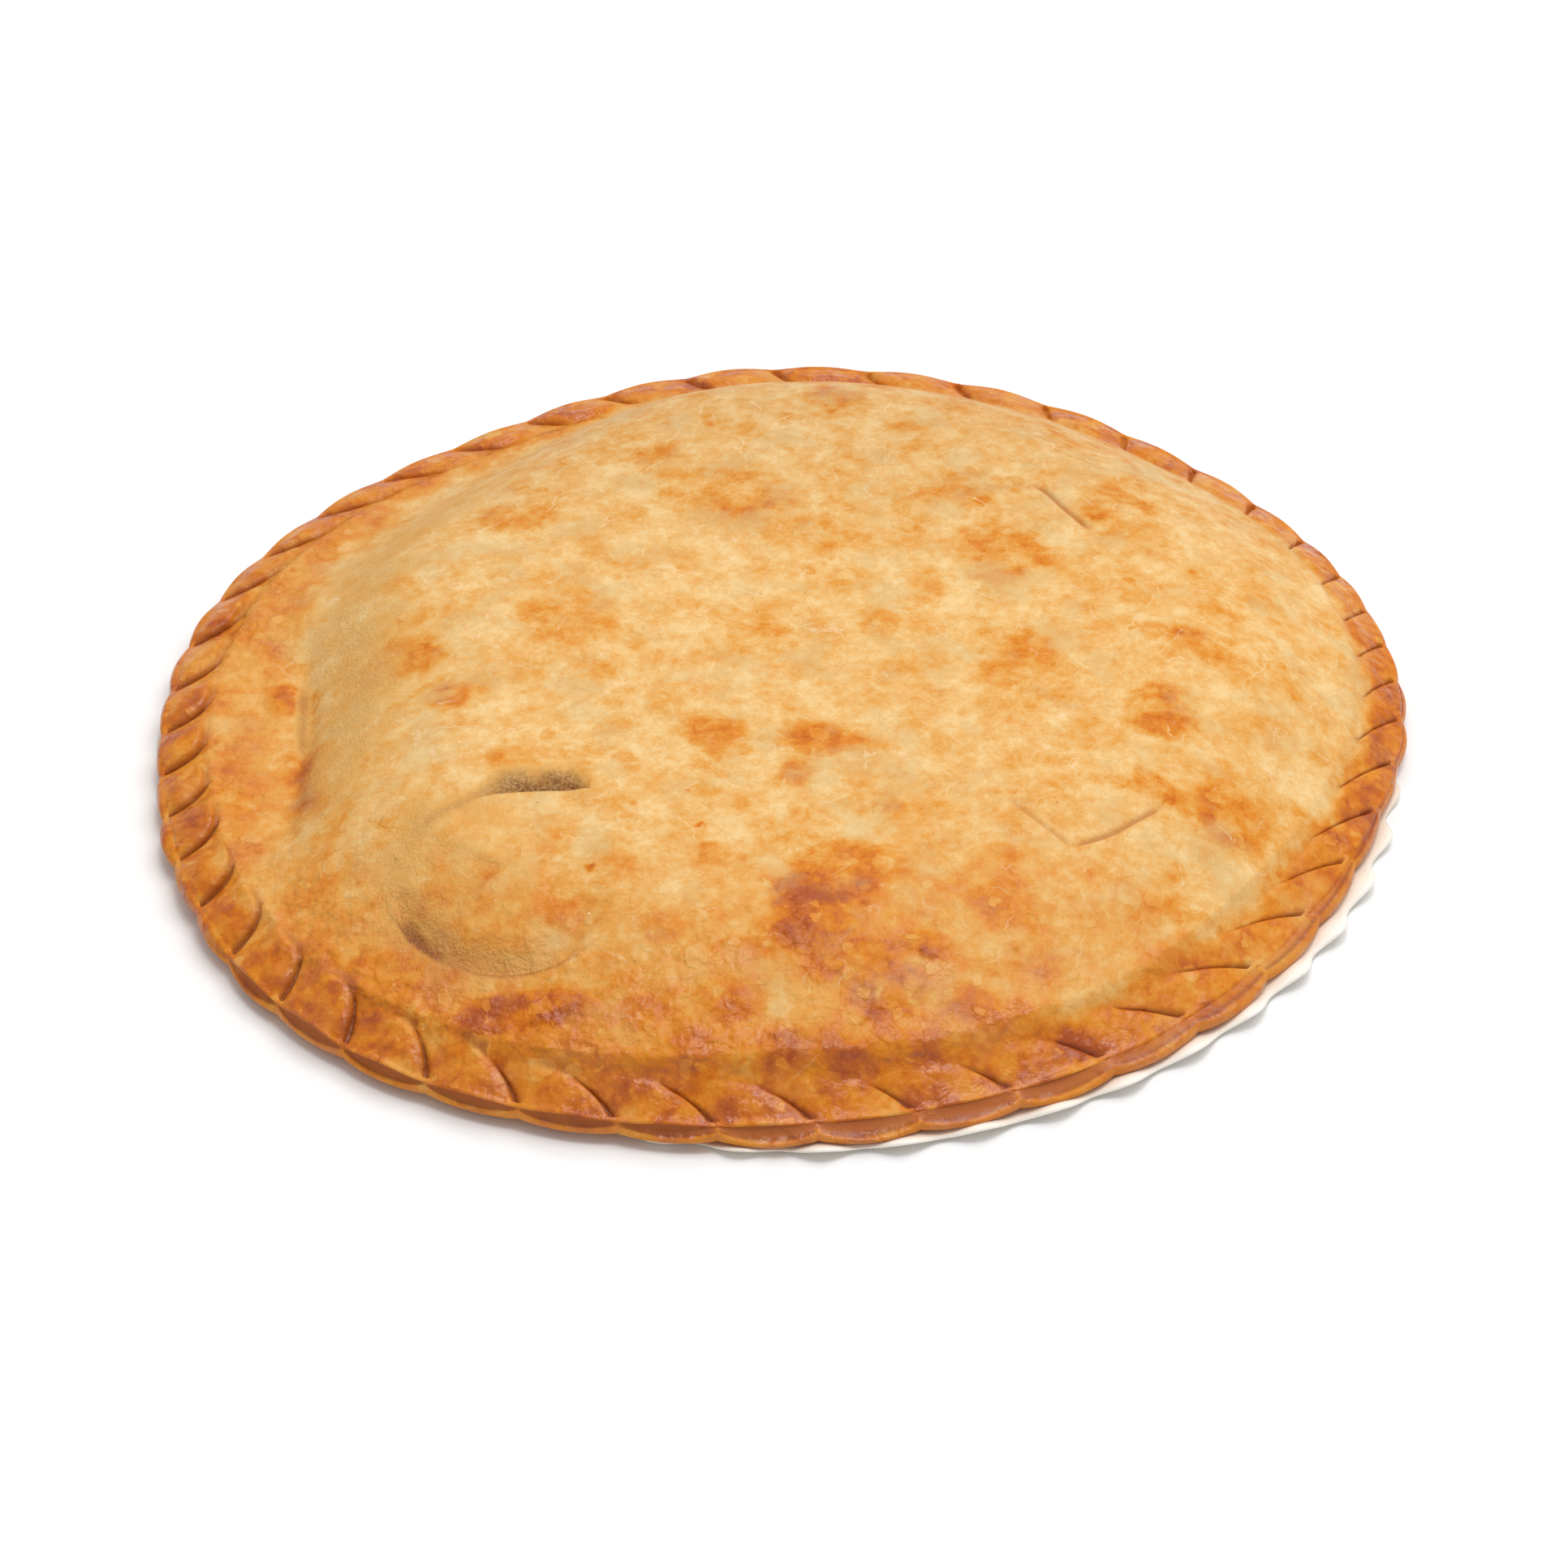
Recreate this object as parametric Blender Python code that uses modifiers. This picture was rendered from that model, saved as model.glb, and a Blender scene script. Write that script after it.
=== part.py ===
"""Large round meat empanada with a rope-crimped rim, lying on its fluted paper case.

Metres, +Z up. The origin is on the surface that the pie stands on, under the middle of
its footprint. +X is to the right of someone looking at the pie and +Y points away.
"""

import math

import bmesh
import bpy

# Crust: outline and heights
EDGE_RADIUS = 0.13715           # mean radius at the pinches of the rim
# waves of the outline: count round the pie, size as a share of the radius, direction of a crest
OUTLINE_WAVES = (
    (2, 0.0367, 38.9),
    (3, 0.0048, -6.5),
    (5, 0.0108, 15.7),
)
# small corrections of the outline in millimetres, one each 15 degrees from +X
OUTLINE_TRIM = (
    2.0, 1.0, 0.8, 1.0, 3.1, 1.9, 1.5, 1.2, 0.2, 1.8, 1.3, 0.6,
    -0.4, -0.4, -1.0, -1.4, -1.2, 0.2, 1.2, 1.4, 0.8, 0.6, 0.4, 0.9,
)
TRIM_STEP = 15.0
TRIM_SPREAD = 12.0              # degrees over which neighbouring corrections blend
RING_CENTRE = (-0.0014, 0.0005)  # middle of the outline, which isn't the middle of the footprint
BOTTOM_Z = 0.0009               # underside of the crust
FLANGE_Z = 0.0095               # flat band between the crimps and the filling
TOP_Z = 0.0292                  # middle of the top crust
RISE_LENGTH = 0.056             # from the foot of the dome to its flat top
RISE_POWER = 3.1

# Flat band: narrow all round, wide where the filling stops short of the rim.
# A swell is an extra size, its middle direction in degrees and its spread in degrees.
FLANGE_WIDTH = 0.0110
FLANGE_SWELLS = (
    (0.0210, 184.0, 27.0),
    (0.0100, 138.0, 24.0),
    (0.0055, 235.0, 20.0),
)

# Crimps: a rope of leaning pinches round the rim
CRIMPS = 45
FIRST_CRIMP = math.radians(163.5)
# uneven spacing: count round the pie, swing in degrees, phase in degrees
CRIMP_WAVES = (
    (1, 0.9, 32.4),
    (2, 5.6, 63.4),
    (3, 1.0, 44.5),
    (4, 1.1, 53.5),
)
CRIMP_REACH = 0.0112            # how far in from the edge a pinch goes
LEAN = 1.00                     # sideways run of a pinch for each unit inward
LEAN_HOOK = 0.28                # the same, added at its inner end
CREST_PHASE = 0.80              # place of the high edge between two pinches
CRIMP_STATIONS = (0.0, 0.14, 0.38, 0.62, 0.80, 0.93)

# Cross-section of the rim
RIM_DEPTH = 0.0136              # from the outer edge to the buried inner side
RIM_MIDDLE_Z = 0.0062
PINCH_TOP_Z = 0.0074
PINCH_BOTTOM_Z = 0.0042
LIP_BOTTOM_Z = 0.0019
UPPER_LIP_BULGE = 0.0016
LOWER_LIP_BULGE = 0.0024
LIP_SWELLS = ((0.0014, 300.0, 42.0),)   # fatter lower lips at the front right
RIM_LIFTS = ((0.0016, 92.0, 42.0),)     # the rim curls up a little at the back
LENS_DEPTH = 0.0016             # hollow between the upper and the lower lip
LENS_SHARE = 0.45               # part of the rim's height that the hollow takes
RIDGE_HEIGHT = 0.0022
RIDGE_AT_EDGE = 0.60            # share of the ridge's height that it has at the outer edge
RIDGE_RISE = 0.35               # full height from this share of the reach inward
RIDGE_FADE = 0.40               # and falling from this share
SWELL_POWER = 0.8               # below 1, a fold is fuller near the pinch
GROOVE_POWER = 1.3              # above 1, a pinch stays low longer before it runs out
SECTION_POWER = 0.6             # below 1, the cross-section is squarer than an ellipse
UNDERCUT_REACH = 0.010          # the underside lifts off this far in from the edge
PINCH_DEPTH = 0.006             # the underside is pinched up this far in from the edge
RIM_SEGMENTS = 12

# Sunken patch of the top crust, near the front left, with a straight back edge
PATCH_CENTRE = (-0.0570, -0.0750)
PATCH_HALF_WIDTH = 0.0260
PATCH_SKEW = -0.20              # the front of the patch lies this much to the right
PATCH_FRONT = 0.028
PATCH_BACK = 0.0313
PATCH_STRAIGHT = 0.026          # the straight edge is this far behind the centre
PATCH_FRONT_STEP = 0.0012
PATCH_BACK_STEP = 0.0034
PATCH_BACK_SHARE = 0.45         # the high step takes this share of the patch's width
PATCH_BACK_FADE = 0.40          # and dies away over this share
PATCH_VALLEY = 0.0012
PATCH_VALLEY_PLACE = 0.75       # the valley's place and width, as shares of the patch's radius
PATCH_VALLEY_WIDTH = 0.35
PATCH_CROWN = 0.0006
PATCH_SEGMENTS = 32
PATCH_LID_ROWS = 3
PATCH_FLOOR_ROWS = 4
PATCH_LID = 0.002               # how far the cutter stands above the crust

# Core mesh
CORE_SEGMENTS = 84
CORE_TOP_ROWS = 15
CORE_BOTTOM_ROWS = 5
CORE_EDGE_INSET = 0.006         # the core ends inside the rim
CORE_EDGE_TOP_Z = 0.0066
CORE_EDGE_BOTTOM_Z = 0.0030
CORE_TOP_POWER = 1.35
CORE_BOTTOM_POWER = 2.0

# Paper case
PAPER_THICKNESS = 0.0006
PAPER_CENTRE = (0.0010, -0.0015)
PAPER_RADIUS = 0.1380
# its edge hides under the crust at the front left and follows it at the back right
PAPER_SWELLS = ((-0.0035, 251.0, 14.0), (0.0022, 45.0, 45.0))
PAPER_FOLD_INSET = 0.0105       # the flat base ends this far inside the crust's edge
PAPER_FREE_SLOPE = 0.30         # climb of the paper outside the crust
FLUTES = 50
FLUTE_STATIONS = 4              # columns of faces for each flute
FLUTE_SWING = 0.0009            # in and out, at the paper's edge
FLUTE_DROP = 0.0004             # down, at the paper's edge under the crust
FLUTE_FREE_DROP = 0.0009        # added outside the crust
FREE_REACH = 0.005              # the added drop is full this far outside the crust
PAPER_RINGS = 2

# Colours, linear
CRUST_COLOUR = (0.72, 0.33, 0.095, 1.0)
CRUST_ROUGHNESS = 0.45
PAPER_COLOUR = (0.93, 0.87, 0.79, 1.0)
PAPER_ROUGHNESS = 0.75


def clamp(value):
    """Limit a value to the range 0 to 1."""
    return min(max(value, 0.0), 1.0)


def smooth(value):
    """Ease from 0 to 1 with flat ends."""
    value = clamp(value)
    return value * value * (3.0 - 2.0 * value)


def outline_trim(angle):
    """Small correction of the outline at a direction, blended from the table."""
    total = 0.0
    weight = 0.0
    for number, value in enumerate(OUTLINE_TRIM):
        away = (math.degrees(angle) - TRIM_STEP * number + 180.0) % 360.0 - 180.0
        share = math.exp(-(away / TRIM_SPREAD) ** 2)
        total += value * share
        weight += share
    return 0.001 * total / weight


def plain_radius(angle):
    """Radius of the slightly oval outline before the small corrections."""
    share = 1.0
    for count, size, crest in OUTLINE_WAVES:
        share += size * math.cos(count * (angle - math.radians(crest)))
    return EDGE_RADIUS * share


def edge_radius(angle):
    """Radius of the crust's outline, at the pinches."""
    return plain_radius(angle) + outline_trim(angle)


def local_swell(swells, angle):
    """Sum of the extra sizes that a list of swells gives at a direction."""
    total = 0.0
    for extra, middle, spread in swells:
        away = (math.degrees(angle) - middle + 180.0) % 360.0 - 180.0
        total += extra * math.exp(-(away / spread) ** 2)
    return total


def flange_width(angle):
    """Distance from the edge to the foot of the dome."""
    return FLANGE_WIDTH + local_swell(FLANGE_SWELLS, angle)


def dome_height(x, y):
    """Height of the top crust inside the crimps, before the patch is sunk."""
    angle = math.atan2(y, x)
    inward = edge_radius(angle) - math.hypot(x, y)
    rise = clamp((inward - flange_width(angle)) / RISE_LENGTH)
    return FLANGE_Z + (TOP_Z - FLANGE_Z) * (1.0 - (1.0 - rise) ** RISE_POWER)


def underside_height(inward):
    """Height of the crust's underside, which lifts off towards the rim."""
    return BOTTOM_Z + (LIP_BOTTOM_Z - BOTTOM_Z) * (1.0 - clamp(inward / UNDERCUT_REACH))


def crimp_angle(count):
    """Direction of a pinch at the outer edge, for a pinch number with a fraction."""
    turn = 2.0 * math.pi * count / CRIMPS + FIRST_CRIMP
    angle = turn
    for waves, swing, phase in CRIMP_WAVES:
        angle += math.radians(swing) * math.cos(waves * turn + math.radians(phase))
    return angle


def lean_run(inward):
    """How far a pinch has run sideways at a distance in from the edge."""
    inward = min(max(inward, 0.0), CRIMP_REACH)
    return inward * (LEAN + LEAN_HOOK * (inward / CRIMP_REACH) ** 2)


def swell(phase):
    """Height of a fold between two pinches: a slow rise and a steep drop."""
    if phase < CREST_PHASE:
        return math.sin(0.5 * math.pi * phase / CREST_PHASE) ** SWELL_POWER
    drop = (phase - CREST_PHASE) / (1.0 - CREST_PHASE)
    return math.sqrt(max(0.0, 1.0 - drop * drop))


def rim_top(inward, phase):
    """Height of the rim's upper side at one phase of a crimp."""
    along = clamp(inward / CRIMP_REACH)
    groove = PINCH_TOP_Z + (FLANGE_Z - PINCH_TOP_Z) * along ** GROOVE_POWER
    rising = RIDGE_AT_EDGE + (1.0 - RIDGE_AT_EDGE) * smooth(along / RIDGE_RISE)
    fading = 1.0 - smooth((along - RIDGE_FADE) / (1.0 - RIDGE_FADE))
    return groove + RIDGE_HEIGHT * rising * fading * swell(phase)


def rim_bottom(inward, phase):
    """Height of the rim's underside at one phase of a crimp."""
    pinch = (1.0 - swell(phase)) * (1.0 - clamp(inward / PINCH_DEPTH))
    return underside_height(inward) + (PINCH_BOTTOM_Z - LIP_BOTTOM_Z) * pinch


def rim_point(column, around):
    """Place of a rim vertex, from its column and its angle round the cross-section."""
    crimp, station = divmod(column, len(CRIMP_STATIONS))
    phase = CRIMP_STATIONS[station]
    half = 0.5 * RIM_DEPTH
    inward = half - half * math.cos(around)
    high = math.sin(around)
    fill = abs(high) ** SECTION_POWER
    if high >= 0.0:
        z = RIM_MIDDLE_Z + (rim_top(inward, phase) - RIM_MIDDLE_Z) * fill
    else:
        z = RIM_MIDDLE_Z - (RIM_MIDDLE_Z - rim_bottom(inward, phase)) * fill
    angle = crimp_angle(crimp + phase)
    z += local_swell(RIM_LIFTS, angle) * (1.0 - inward / RIM_DEPTH)
    bulge = LOWER_LIP_BULGE + local_swell(LIP_SWELLS, angle) if high < 0.0 else UPPER_LIP_BULGE
    outer = clamp(math.cos(around))
    lip_share = clamp(abs(high) / LENS_SHARE)
    inward += swell(phase) * outer * (LENS_DEPTH * (1.0 - lip_share) - bulge * lip_share)
    if high >= 0.0:
        angle -= lean_run(inward) / EDGE_RADIUS
    radius = edge_radius(angle) - inward
    return radius * math.cos(angle), radius * math.sin(angle), z


def core_point(angle, row):
    """Place of a core vertex, from its direction and its row counted from the top's middle."""
    on_top = row <= CORE_TOP_ROWS
    if on_top:
        share = (1.0 - row / CORE_TOP_ROWS) ** CORE_TOP_POWER
    else:
        share = ((row - CORE_TOP_ROWS) / CORE_BOTTOM_ROWS) ** CORE_BOTTOM_POWER
    edge = edge_radius(angle)
    inward = CORE_EDGE_INSET + (edge - CORE_EDGE_INSET) * share
    x = (edge - inward) * math.cos(angle)
    y = (edge - inward) * math.sin(angle)
    buried = 1.0 - smooth((inward - CORE_EDGE_INSET) / (CRIMP_REACH - CORE_EDGE_INSET))
    if on_top:
        z = dome_height(x, y)
        return x, y, z + (CORE_EDGE_TOP_Z - z) * buried
    z = underside_height(inward)
    return x, y, z + (CORE_EDGE_BOTTOM_Z - z) * buried


def patch_sink(across, back_place, out):
    """Depth of the patch's floor, from a point's place in the patch and its share of the radius."""
    back = smooth(back_place / PATCH_STRAIGHT)
    back *= 1.0 - smooth((abs(across) / PATCH_HALF_WIDTH - PATCH_BACK_SHARE) / PATCH_BACK_FADE)
    step = PATCH_FRONT_STEP + (PATCH_BACK_STEP - PATCH_FRONT_STEP) * back
    from_valley = abs(out - PATCH_VALLEY_PLACE) / PATCH_VALLEY_WIDTH
    valley = PATCH_VALLEY * (1.0 - back) * (1.0 - smooth(from_valley))
    return step + valley - PATCH_CROWN * (1.0 - out * out)


def patch_point(angle, row):
    """Place of a vertex of the patch's cutter: a lid above the crust, then the floor."""
    reach = PATCH_BACK if math.sin(angle) > 0.0 else PATCH_FRONT
    outline = 1.0 / math.hypot(math.cos(angle) / PATCH_HALF_WIDTH, math.sin(angle) / reach)
    if math.sin(angle) > 0.0:
        outline = min(outline, PATCH_STRAIGHT / math.sin(angle))
    on_lid = row <= PATCH_LID_ROWS
    rows = PATCH_LID_ROWS + 1 + PATCH_FLOOR_ROWS
    share = row / PATCH_LID_ROWS if on_lid else (rows - row) / PATCH_FLOOR_ROWS
    across = outline * share * math.cos(angle)
    back_place = outline * share * math.sin(angle)
    x = PATCH_CENTRE[0] + across + PATCH_SKEW * min(back_place, 0.0)
    y = PATCH_CENTRE[1] + back_place
    if on_lid:
        return x, y, dome_height(x, y) + PATCH_LID
    return x, y, dome_height(x, y) - patch_sink(across, back_place, share)


def make_material(name, colour, roughness):
    """A plain finish for one sub-part."""
    material = bpy.data.materials.new(name)
    material.use_nodes = True
    shader = material.node_tree.nodes["Principled BSDF"]
    shader.inputs["Base Color"].default_value = colour
    shader.inputs["Roughness"].default_value = roughness
    shader.inputs["Metallic"].default_value = 0.0
    return material


def warped_sphere(name, segments, rows, place, collection):
    """A sphere whose every vertex is moved by a rule of its direction and its row."""
    mesh = bpy.data.meshes.new(name)
    shape = bmesh.new()
    bmesh.ops.create_uvsphere(shape, u_segments=segments, v_segments=rows, radius=1.0)
    for vertex in shape.verts:
        row = round(rows * math.acos(max(-1.0, min(1.0, vertex.co.z))) / math.pi)
        vertex.co = place(math.atan2(vertex.co.y, vertex.co.x), row)
    bmesh.ops.recalc_face_normals(shape, faces=shape.faces)
    shape.to_mesh(mesh)
    shape.free()
    warped = bpy.data.objects.new(name, mesh)
    collection.objects.link(warped)
    return warped


def make_core(collection):
    """The filled middle of the pie, with the sunken patch cut into its top."""
    rows = CORE_TOP_ROWS + CORE_BOTTOM_ROWS
    core = warped_sphere("crust_core", CORE_SEGMENTS, rows, core_point, collection)
    patch_rows = PATCH_LID_ROWS + 1 + PATCH_FLOOR_ROWS
    patch = warped_sphere("patch_cutter", PATCH_SEGMENTS, patch_rows, patch_point, collection)
    cut = core.modifiers.new("sunken_patch", "BOOLEAN")
    cut.operation = "DIFFERENCE"
    cut.object = patch
    cut.solver = "EXACT"
    apply_modifiers(core)
    bpy.data.objects.remove(patch)
    return core


def apply_modifiers(piece):
    """Replace an object's mesh by what its modifiers make of it."""
    bpy.context.view_layer.update()
    evaluated = piece.evaluated_get(bpy.context.evaluated_depsgraph_get())
    mesh = bpy.data.meshes.new_from_object(evaluated)
    piece.modifiers.clear()
    piece.data = mesh


def make_rim(collection):
    """The crimped rope: a ring whose every vertex is moved to its place in a crimp."""
    columns = CRIMPS * len(CRIMP_STATIONS)
    bpy.ops.mesh.primitive_torus_add(
        major_segments=columns,
        minor_segments=RIM_SEGMENTS,
        major_radius=1.0,
        minor_radius=0.25,
    )
    rim = bpy.context.object
    rim.name = "empanada"
    for vertex in rim.data.vertices:
        x, y, z = vertex.co
        turn = math.atan2(y, x) % (2.0 * math.pi)
        column = round(columns * turn / (2.0 * math.pi)) % columns
        around = math.atan2(z, math.hypot(x, y) - 1.0)
        vertex.co = rim_point(column, around)
    for old in list(rim.users_collection):
        old.objects.unlink(rim)
    collection.objects.link(rim)
    return rim


def make_crust(collection, joined):
    """The pie itself: the core is fused into the rim as one solid."""
    make_core(joined)
    crust = make_rim(collection)
    union = crust.modifiers.new("join", "BOOLEAN")
    union.operation = "UNION"
    union.operand_type = "COLLECTION"
    union.collection = joined
    union.solver = "EXACT"
    apply_modifiers(crust)
    for piece in list(joined.objects):
        bpy.data.objects.remove(piece)
    bpy.data.collections.remove(joined)
    crust.data.materials.clear()
    crust.data.materials.append(make_material("baked_crust", CRUST_COLOUR, CRUST_ROUGHNESS))
    crust.data.shade_smooth()
    return crust


def paper_point(turn, share):
    """Place of the paper's underside: share 0 at the fold round its base, 1 at its edge."""
    fold = plain_radius(turn) - PAPER_FOLD_INSET
    wave = math.cos(FLUTES * turn)
    radius = PAPER_RADIUS + local_swell(PAPER_SWELLS, turn) + FLUTE_SWING * wave
    edge_x = PAPER_CENTRE[0] + radius * math.cos(turn)
    edge_y = PAPER_CENTRE[1] + radius * math.sin(turn)
    x = (1.0 - share) * fold * math.cos(turn) + share * edge_x
    y = (1.0 - share) * fold * math.sin(turn) + share * edge_y
    beyond = math.hypot(x, y) - edge_radius(math.atan2(y, x))
    free = max(beyond, 0.0)
    z = underside_height(-beyond) - BOTTOM_Z + PAPER_FREE_SLOPE * free
    drop = FLUTE_DROP + FLUTE_FREE_DROP * clamp(free / FREE_REACH)
    return x, y, max(0.0, z - drop * share * (1.0 - wave) * 0.5)


def make_paper(collection):
    """The paper case: a flat disc whose edge is drawn out in rings and fluted."""
    columns = FLUTES * FLUTE_STATIONS
    mesh = bpy.data.meshes.new("paper_case")
    shape = bmesh.new()
    bmesh.ops.create_circle(shape, cap_ends=True, cap_tris=True, segments=columns, radius=1.0)
    ring = [edge for edge in shape.edges if edge.is_boundary]
    for step in range(PAPER_RINGS):
        drawn = bmesh.ops.extrude_edge_only(shape, edges=ring)["geom"]
        ring = [item for item in drawn if isinstance(item, bmesh.types.BMEdge) and item.is_boundary]
        for vertex in {v for edge in ring for v in edge.verts}:
            angle = math.atan2(vertex.co.y, vertex.co.x)
            vertex.co = ((step + 2.0) * math.cos(angle), (step + 2.0) * math.sin(angle), 0.0)
    for vertex in shape.verts:
        place = vertex.co.length
        if place > 0.5:
            turn = math.atan2(vertex.co.y, vertex.co.x)
            vertex.co = paper_point(turn, (round(place) - 1.0) / PAPER_RINGS)
    bmesh.ops.recalc_face_normals(shape, faces=shape.faces)
    if sum(face.normal.z for face in shape.faces) < 0.0:
        bmesh.ops.reverse_faces(shape, faces=shape.faces)
    shape.to_mesh(mesh)
    shape.free()
    paper = bpy.data.objects.new("paper_case", mesh)
    paper.data.materials.append(make_material("greaseproof_paper", PAPER_COLOUR, PAPER_ROUGHNESS))
    collection.objects.link(paper)
    thicken = paper.modifiers.new("thickness", "SOLIDIFY")
    thicken.thickness = PAPER_THICKNESS
    thicken.offset = 1.0
    return paper


def main():
    for old in list(bpy.data.objects):
        bpy.data.objects.remove(old)
    parts = bpy.data.collections.new("meat_empanada")
    joined = bpy.data.collections.new("joined_pieces")
    bpy.context.scene.collection.children.link(parts)
    bpy.context.scene.collection.children.link(joined)
    crust = make_crust(parts, joined)
    paper = make_paper(parts)
    for piece in (crust, paper):
        piece.location = (RING_CENTRE[0], RING_CENTRE[1], 0.0)


main()
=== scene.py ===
"""Large round meat empanada with a rope-crimped rim, lying on its fluted paper case."""

import math

import bpy
import numpy as np
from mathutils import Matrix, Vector
from mathutils.geometry import delaunay_2d_cdt


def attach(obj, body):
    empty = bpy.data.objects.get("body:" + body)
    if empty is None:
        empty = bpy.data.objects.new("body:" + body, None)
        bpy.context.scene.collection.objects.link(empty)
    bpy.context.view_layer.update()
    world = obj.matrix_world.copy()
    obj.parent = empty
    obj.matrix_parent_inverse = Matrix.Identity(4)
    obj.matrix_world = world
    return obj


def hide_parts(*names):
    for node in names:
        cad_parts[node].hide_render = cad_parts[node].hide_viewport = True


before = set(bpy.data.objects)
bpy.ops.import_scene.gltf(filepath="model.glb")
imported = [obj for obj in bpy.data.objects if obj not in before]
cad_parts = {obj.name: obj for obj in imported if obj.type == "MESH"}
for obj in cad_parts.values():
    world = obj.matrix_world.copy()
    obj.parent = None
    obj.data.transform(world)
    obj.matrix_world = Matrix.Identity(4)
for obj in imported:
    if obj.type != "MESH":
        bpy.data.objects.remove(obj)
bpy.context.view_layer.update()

MM = 0.001

# Crust: outline and heights, as in the solid
EDGE_RADIUS = 0.13715
OUTLINE_WAVES = ((2, 0.0367, 38.9), (3, 0.0048, -6.5), (5, 0.0108, 15.7))
# Small corrections of the outline in millimetres, one each 15 degrees
OUTLINE_TRIM = (
    2.0, 1.0, 0.8, 1.0, 3.1, 1.9, 1.5, 1.2, 0.2, 1.8, 1.3, 0.6,
    -0.4, -0.4, -1.0, -1.4, -1.2, 0.2, 1.2, 1.4, 0.8, 0.6, 0.4, 0.9,
)
TABLE_STEP = 15.0
TABLE_SPREAD = 12.0
RING_CENTRE = (-0.0014, 0.0005)
BOTTOM_Z = 0.0009
FLANGE_Z = 0.0095
TOP_Z = 0.0292
RISE_LENGTH = 0.056
RISE_POWER = 2.6
RISE_SWELLS = ((-0.60, 262.0, 40.0), (0.7, 92.0, 42.0))
FOOT_SOFTNESS = 0.16  # how gently the dome starts to rise, as a share of RISE_LENGTH
FOOT_CREASE = (187.0, 12.0, 12.0)  # direction, half width and fade, in degrees
FLANGE_WIDTH = 0.0110
FLANGE_SWELLS = ((0.0210, 184.0, 27.0), (0.0100, 138.0, 24.0), (0.0055, 235.0, 20.0),
                 (-0.0060, 264.0, 30.0))

# Crimps
CRIMPS = 45
FIRST_CRIMP = math.radians(163.5)
CRIMP_WAVES = ((1, 0.9, 32.4), (2, 5.6, 63.4), (3, 1.0, 44.5), (4, 1.1, 53.5))
CRIMP_REACH = 0.0112
LEAN_REACH = 0.0088  # pinches run sideways up to here
REACH_SWELLS = ((0.0024, 203.0, 34.0), (-0.0016, 280.0, 42.0))
# How much a pinch leans at the edge and how strongly it hooks, one each 15 degrees
LEANS = (
    1.00, 0.80, 0.62, 0.65, 0.55, 0.55, 0.35, 0.60, 0.75, 0.95, 0.90, 0.55,
    0.20, 0.02, 0.02, 0.15, 0.50, 1.00, 1.05, 1.00, 1.05, 1.60, 1.45, 1.90,
)
HOOKS = (
    1.2, 0.3, 0.1, 0.2, 0.2, 0.6, 0.3, 0.4, 0.4, 0.6, 0.7, 0.8,
    0.6, 0.6, 0.45, 0.25, 0.5, 1.5, 2.0, 1.5, 0.7, 1.3, 2.4, 1.7,
)
CREST_PHASE = 0.70
CRIMP_PITCH = 0.0191
EDGE_DROP = 0.0036  # how far the crust falls from the flat band to a pinch
LIP_BOTTOM_Z = 0.0019
RIM_LIFTS = ((0.0026, 92.0, 38.0),)
RIM_DEPTH = 0.0136
RIDGE_HEIGHT = 0.0016
RIDGE_SWELLS = ((0.0013, 198.0, 42.0), (-0.0004, 285.0, 30.0), (-0.0006, 340.0, 45.0))
RIDGE_AT_EDGE = 0.60
RIDGE_RISE = 0.35
SWELL_POWER = 0.8
GROOVE_POWER = 1.3
UNDERCUT_REACH = 0.010
TOP_EDGE = 0.0012  # the upper side's last row lies this far in from the edge
LIP_TOP = 8.15  # usual height of the upper lip's top, in millimetres
LIP_TOP_INSET = 0.0008
# Directions where the lips do this, with half width and fade, in degrees
LIPS_APART = (254.0, 38.0, 22.0)
LIPS_TOGETHER = (116.0, 90.0, 16.0)
LIP_SHIFT = (302.0, 22.0, 26.0)
# The rim's foot starts this far in from the edge, and has its rows at these distances
FOOT_START = 0.0004
FOOT_REACHES = (0.0035, 0.0060, 0.0095)
CRIMP_COLUMNS = 20  # columns of the mesh in one crimp
COLUMN_GATHER = 0.65  # how closely they gather at a pinch
CREASE_DEPTH = 0.0010  # narrow crease along a pinch
CREASE_WIDTH = 0.00075
# Between these distances in from the edge the columns grow even again
RELAX_START = 0.0095
RELAX_REACH = 0.0160

# Rim's outer side, from the top's shoulder down to the underside: distance out from the
# pinch line and height, in millimetres, first at a pinch, then midway between two where
# the lips stand apart, and then midway between two where they lie together
RIM_SIDE = (
    ((-0.75, 6.35), (-0.45, 8.1), (-0.5, 7.9)), ((-0.3, 6.15), (0.15, 8.0), (0.15, 7.5)),
    ((-0.05, 6.0), (0.45, 7.75), (0.5, 6.95)), ((-0.02, 5.9), (0.46, 7.45), (0.45, 6.4)),
    ((-0.06, 5.8), (0.15, 7.2), (0.2, 5.95)), ((-0.1, 5.7), (-0.35, 6.6), (-0.05, 5.7)),
    ((-0.08, 5.6), (-0.4, 5.5), (-0.12, 5.55)), ((-0.04, 5.5), (-0.1, 4.5), (0.05, 5.4)),
    ((0.05, 5.35), (0.5, 3.8), (0.45, 5.25)), ((0.2, 5.1), (0.95, 3.55), (0.95, 4.95)),
    ((0.38, 4.6), (1.25, 3.25), (1.35, 4.3)), ((0.45, 3.9), (1.25, 2.8), (1.45, 3.55)),
    ((0.35, 3.2), (1.0, 2.4), (1.25, 2.8)), ((0.0, 2.7), (0.3, 2.1), (0.45, 2.2)),
    ((-0.95, 2.35), (-0.85, 1.95), (-0.9, 1.95)),
)
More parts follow.
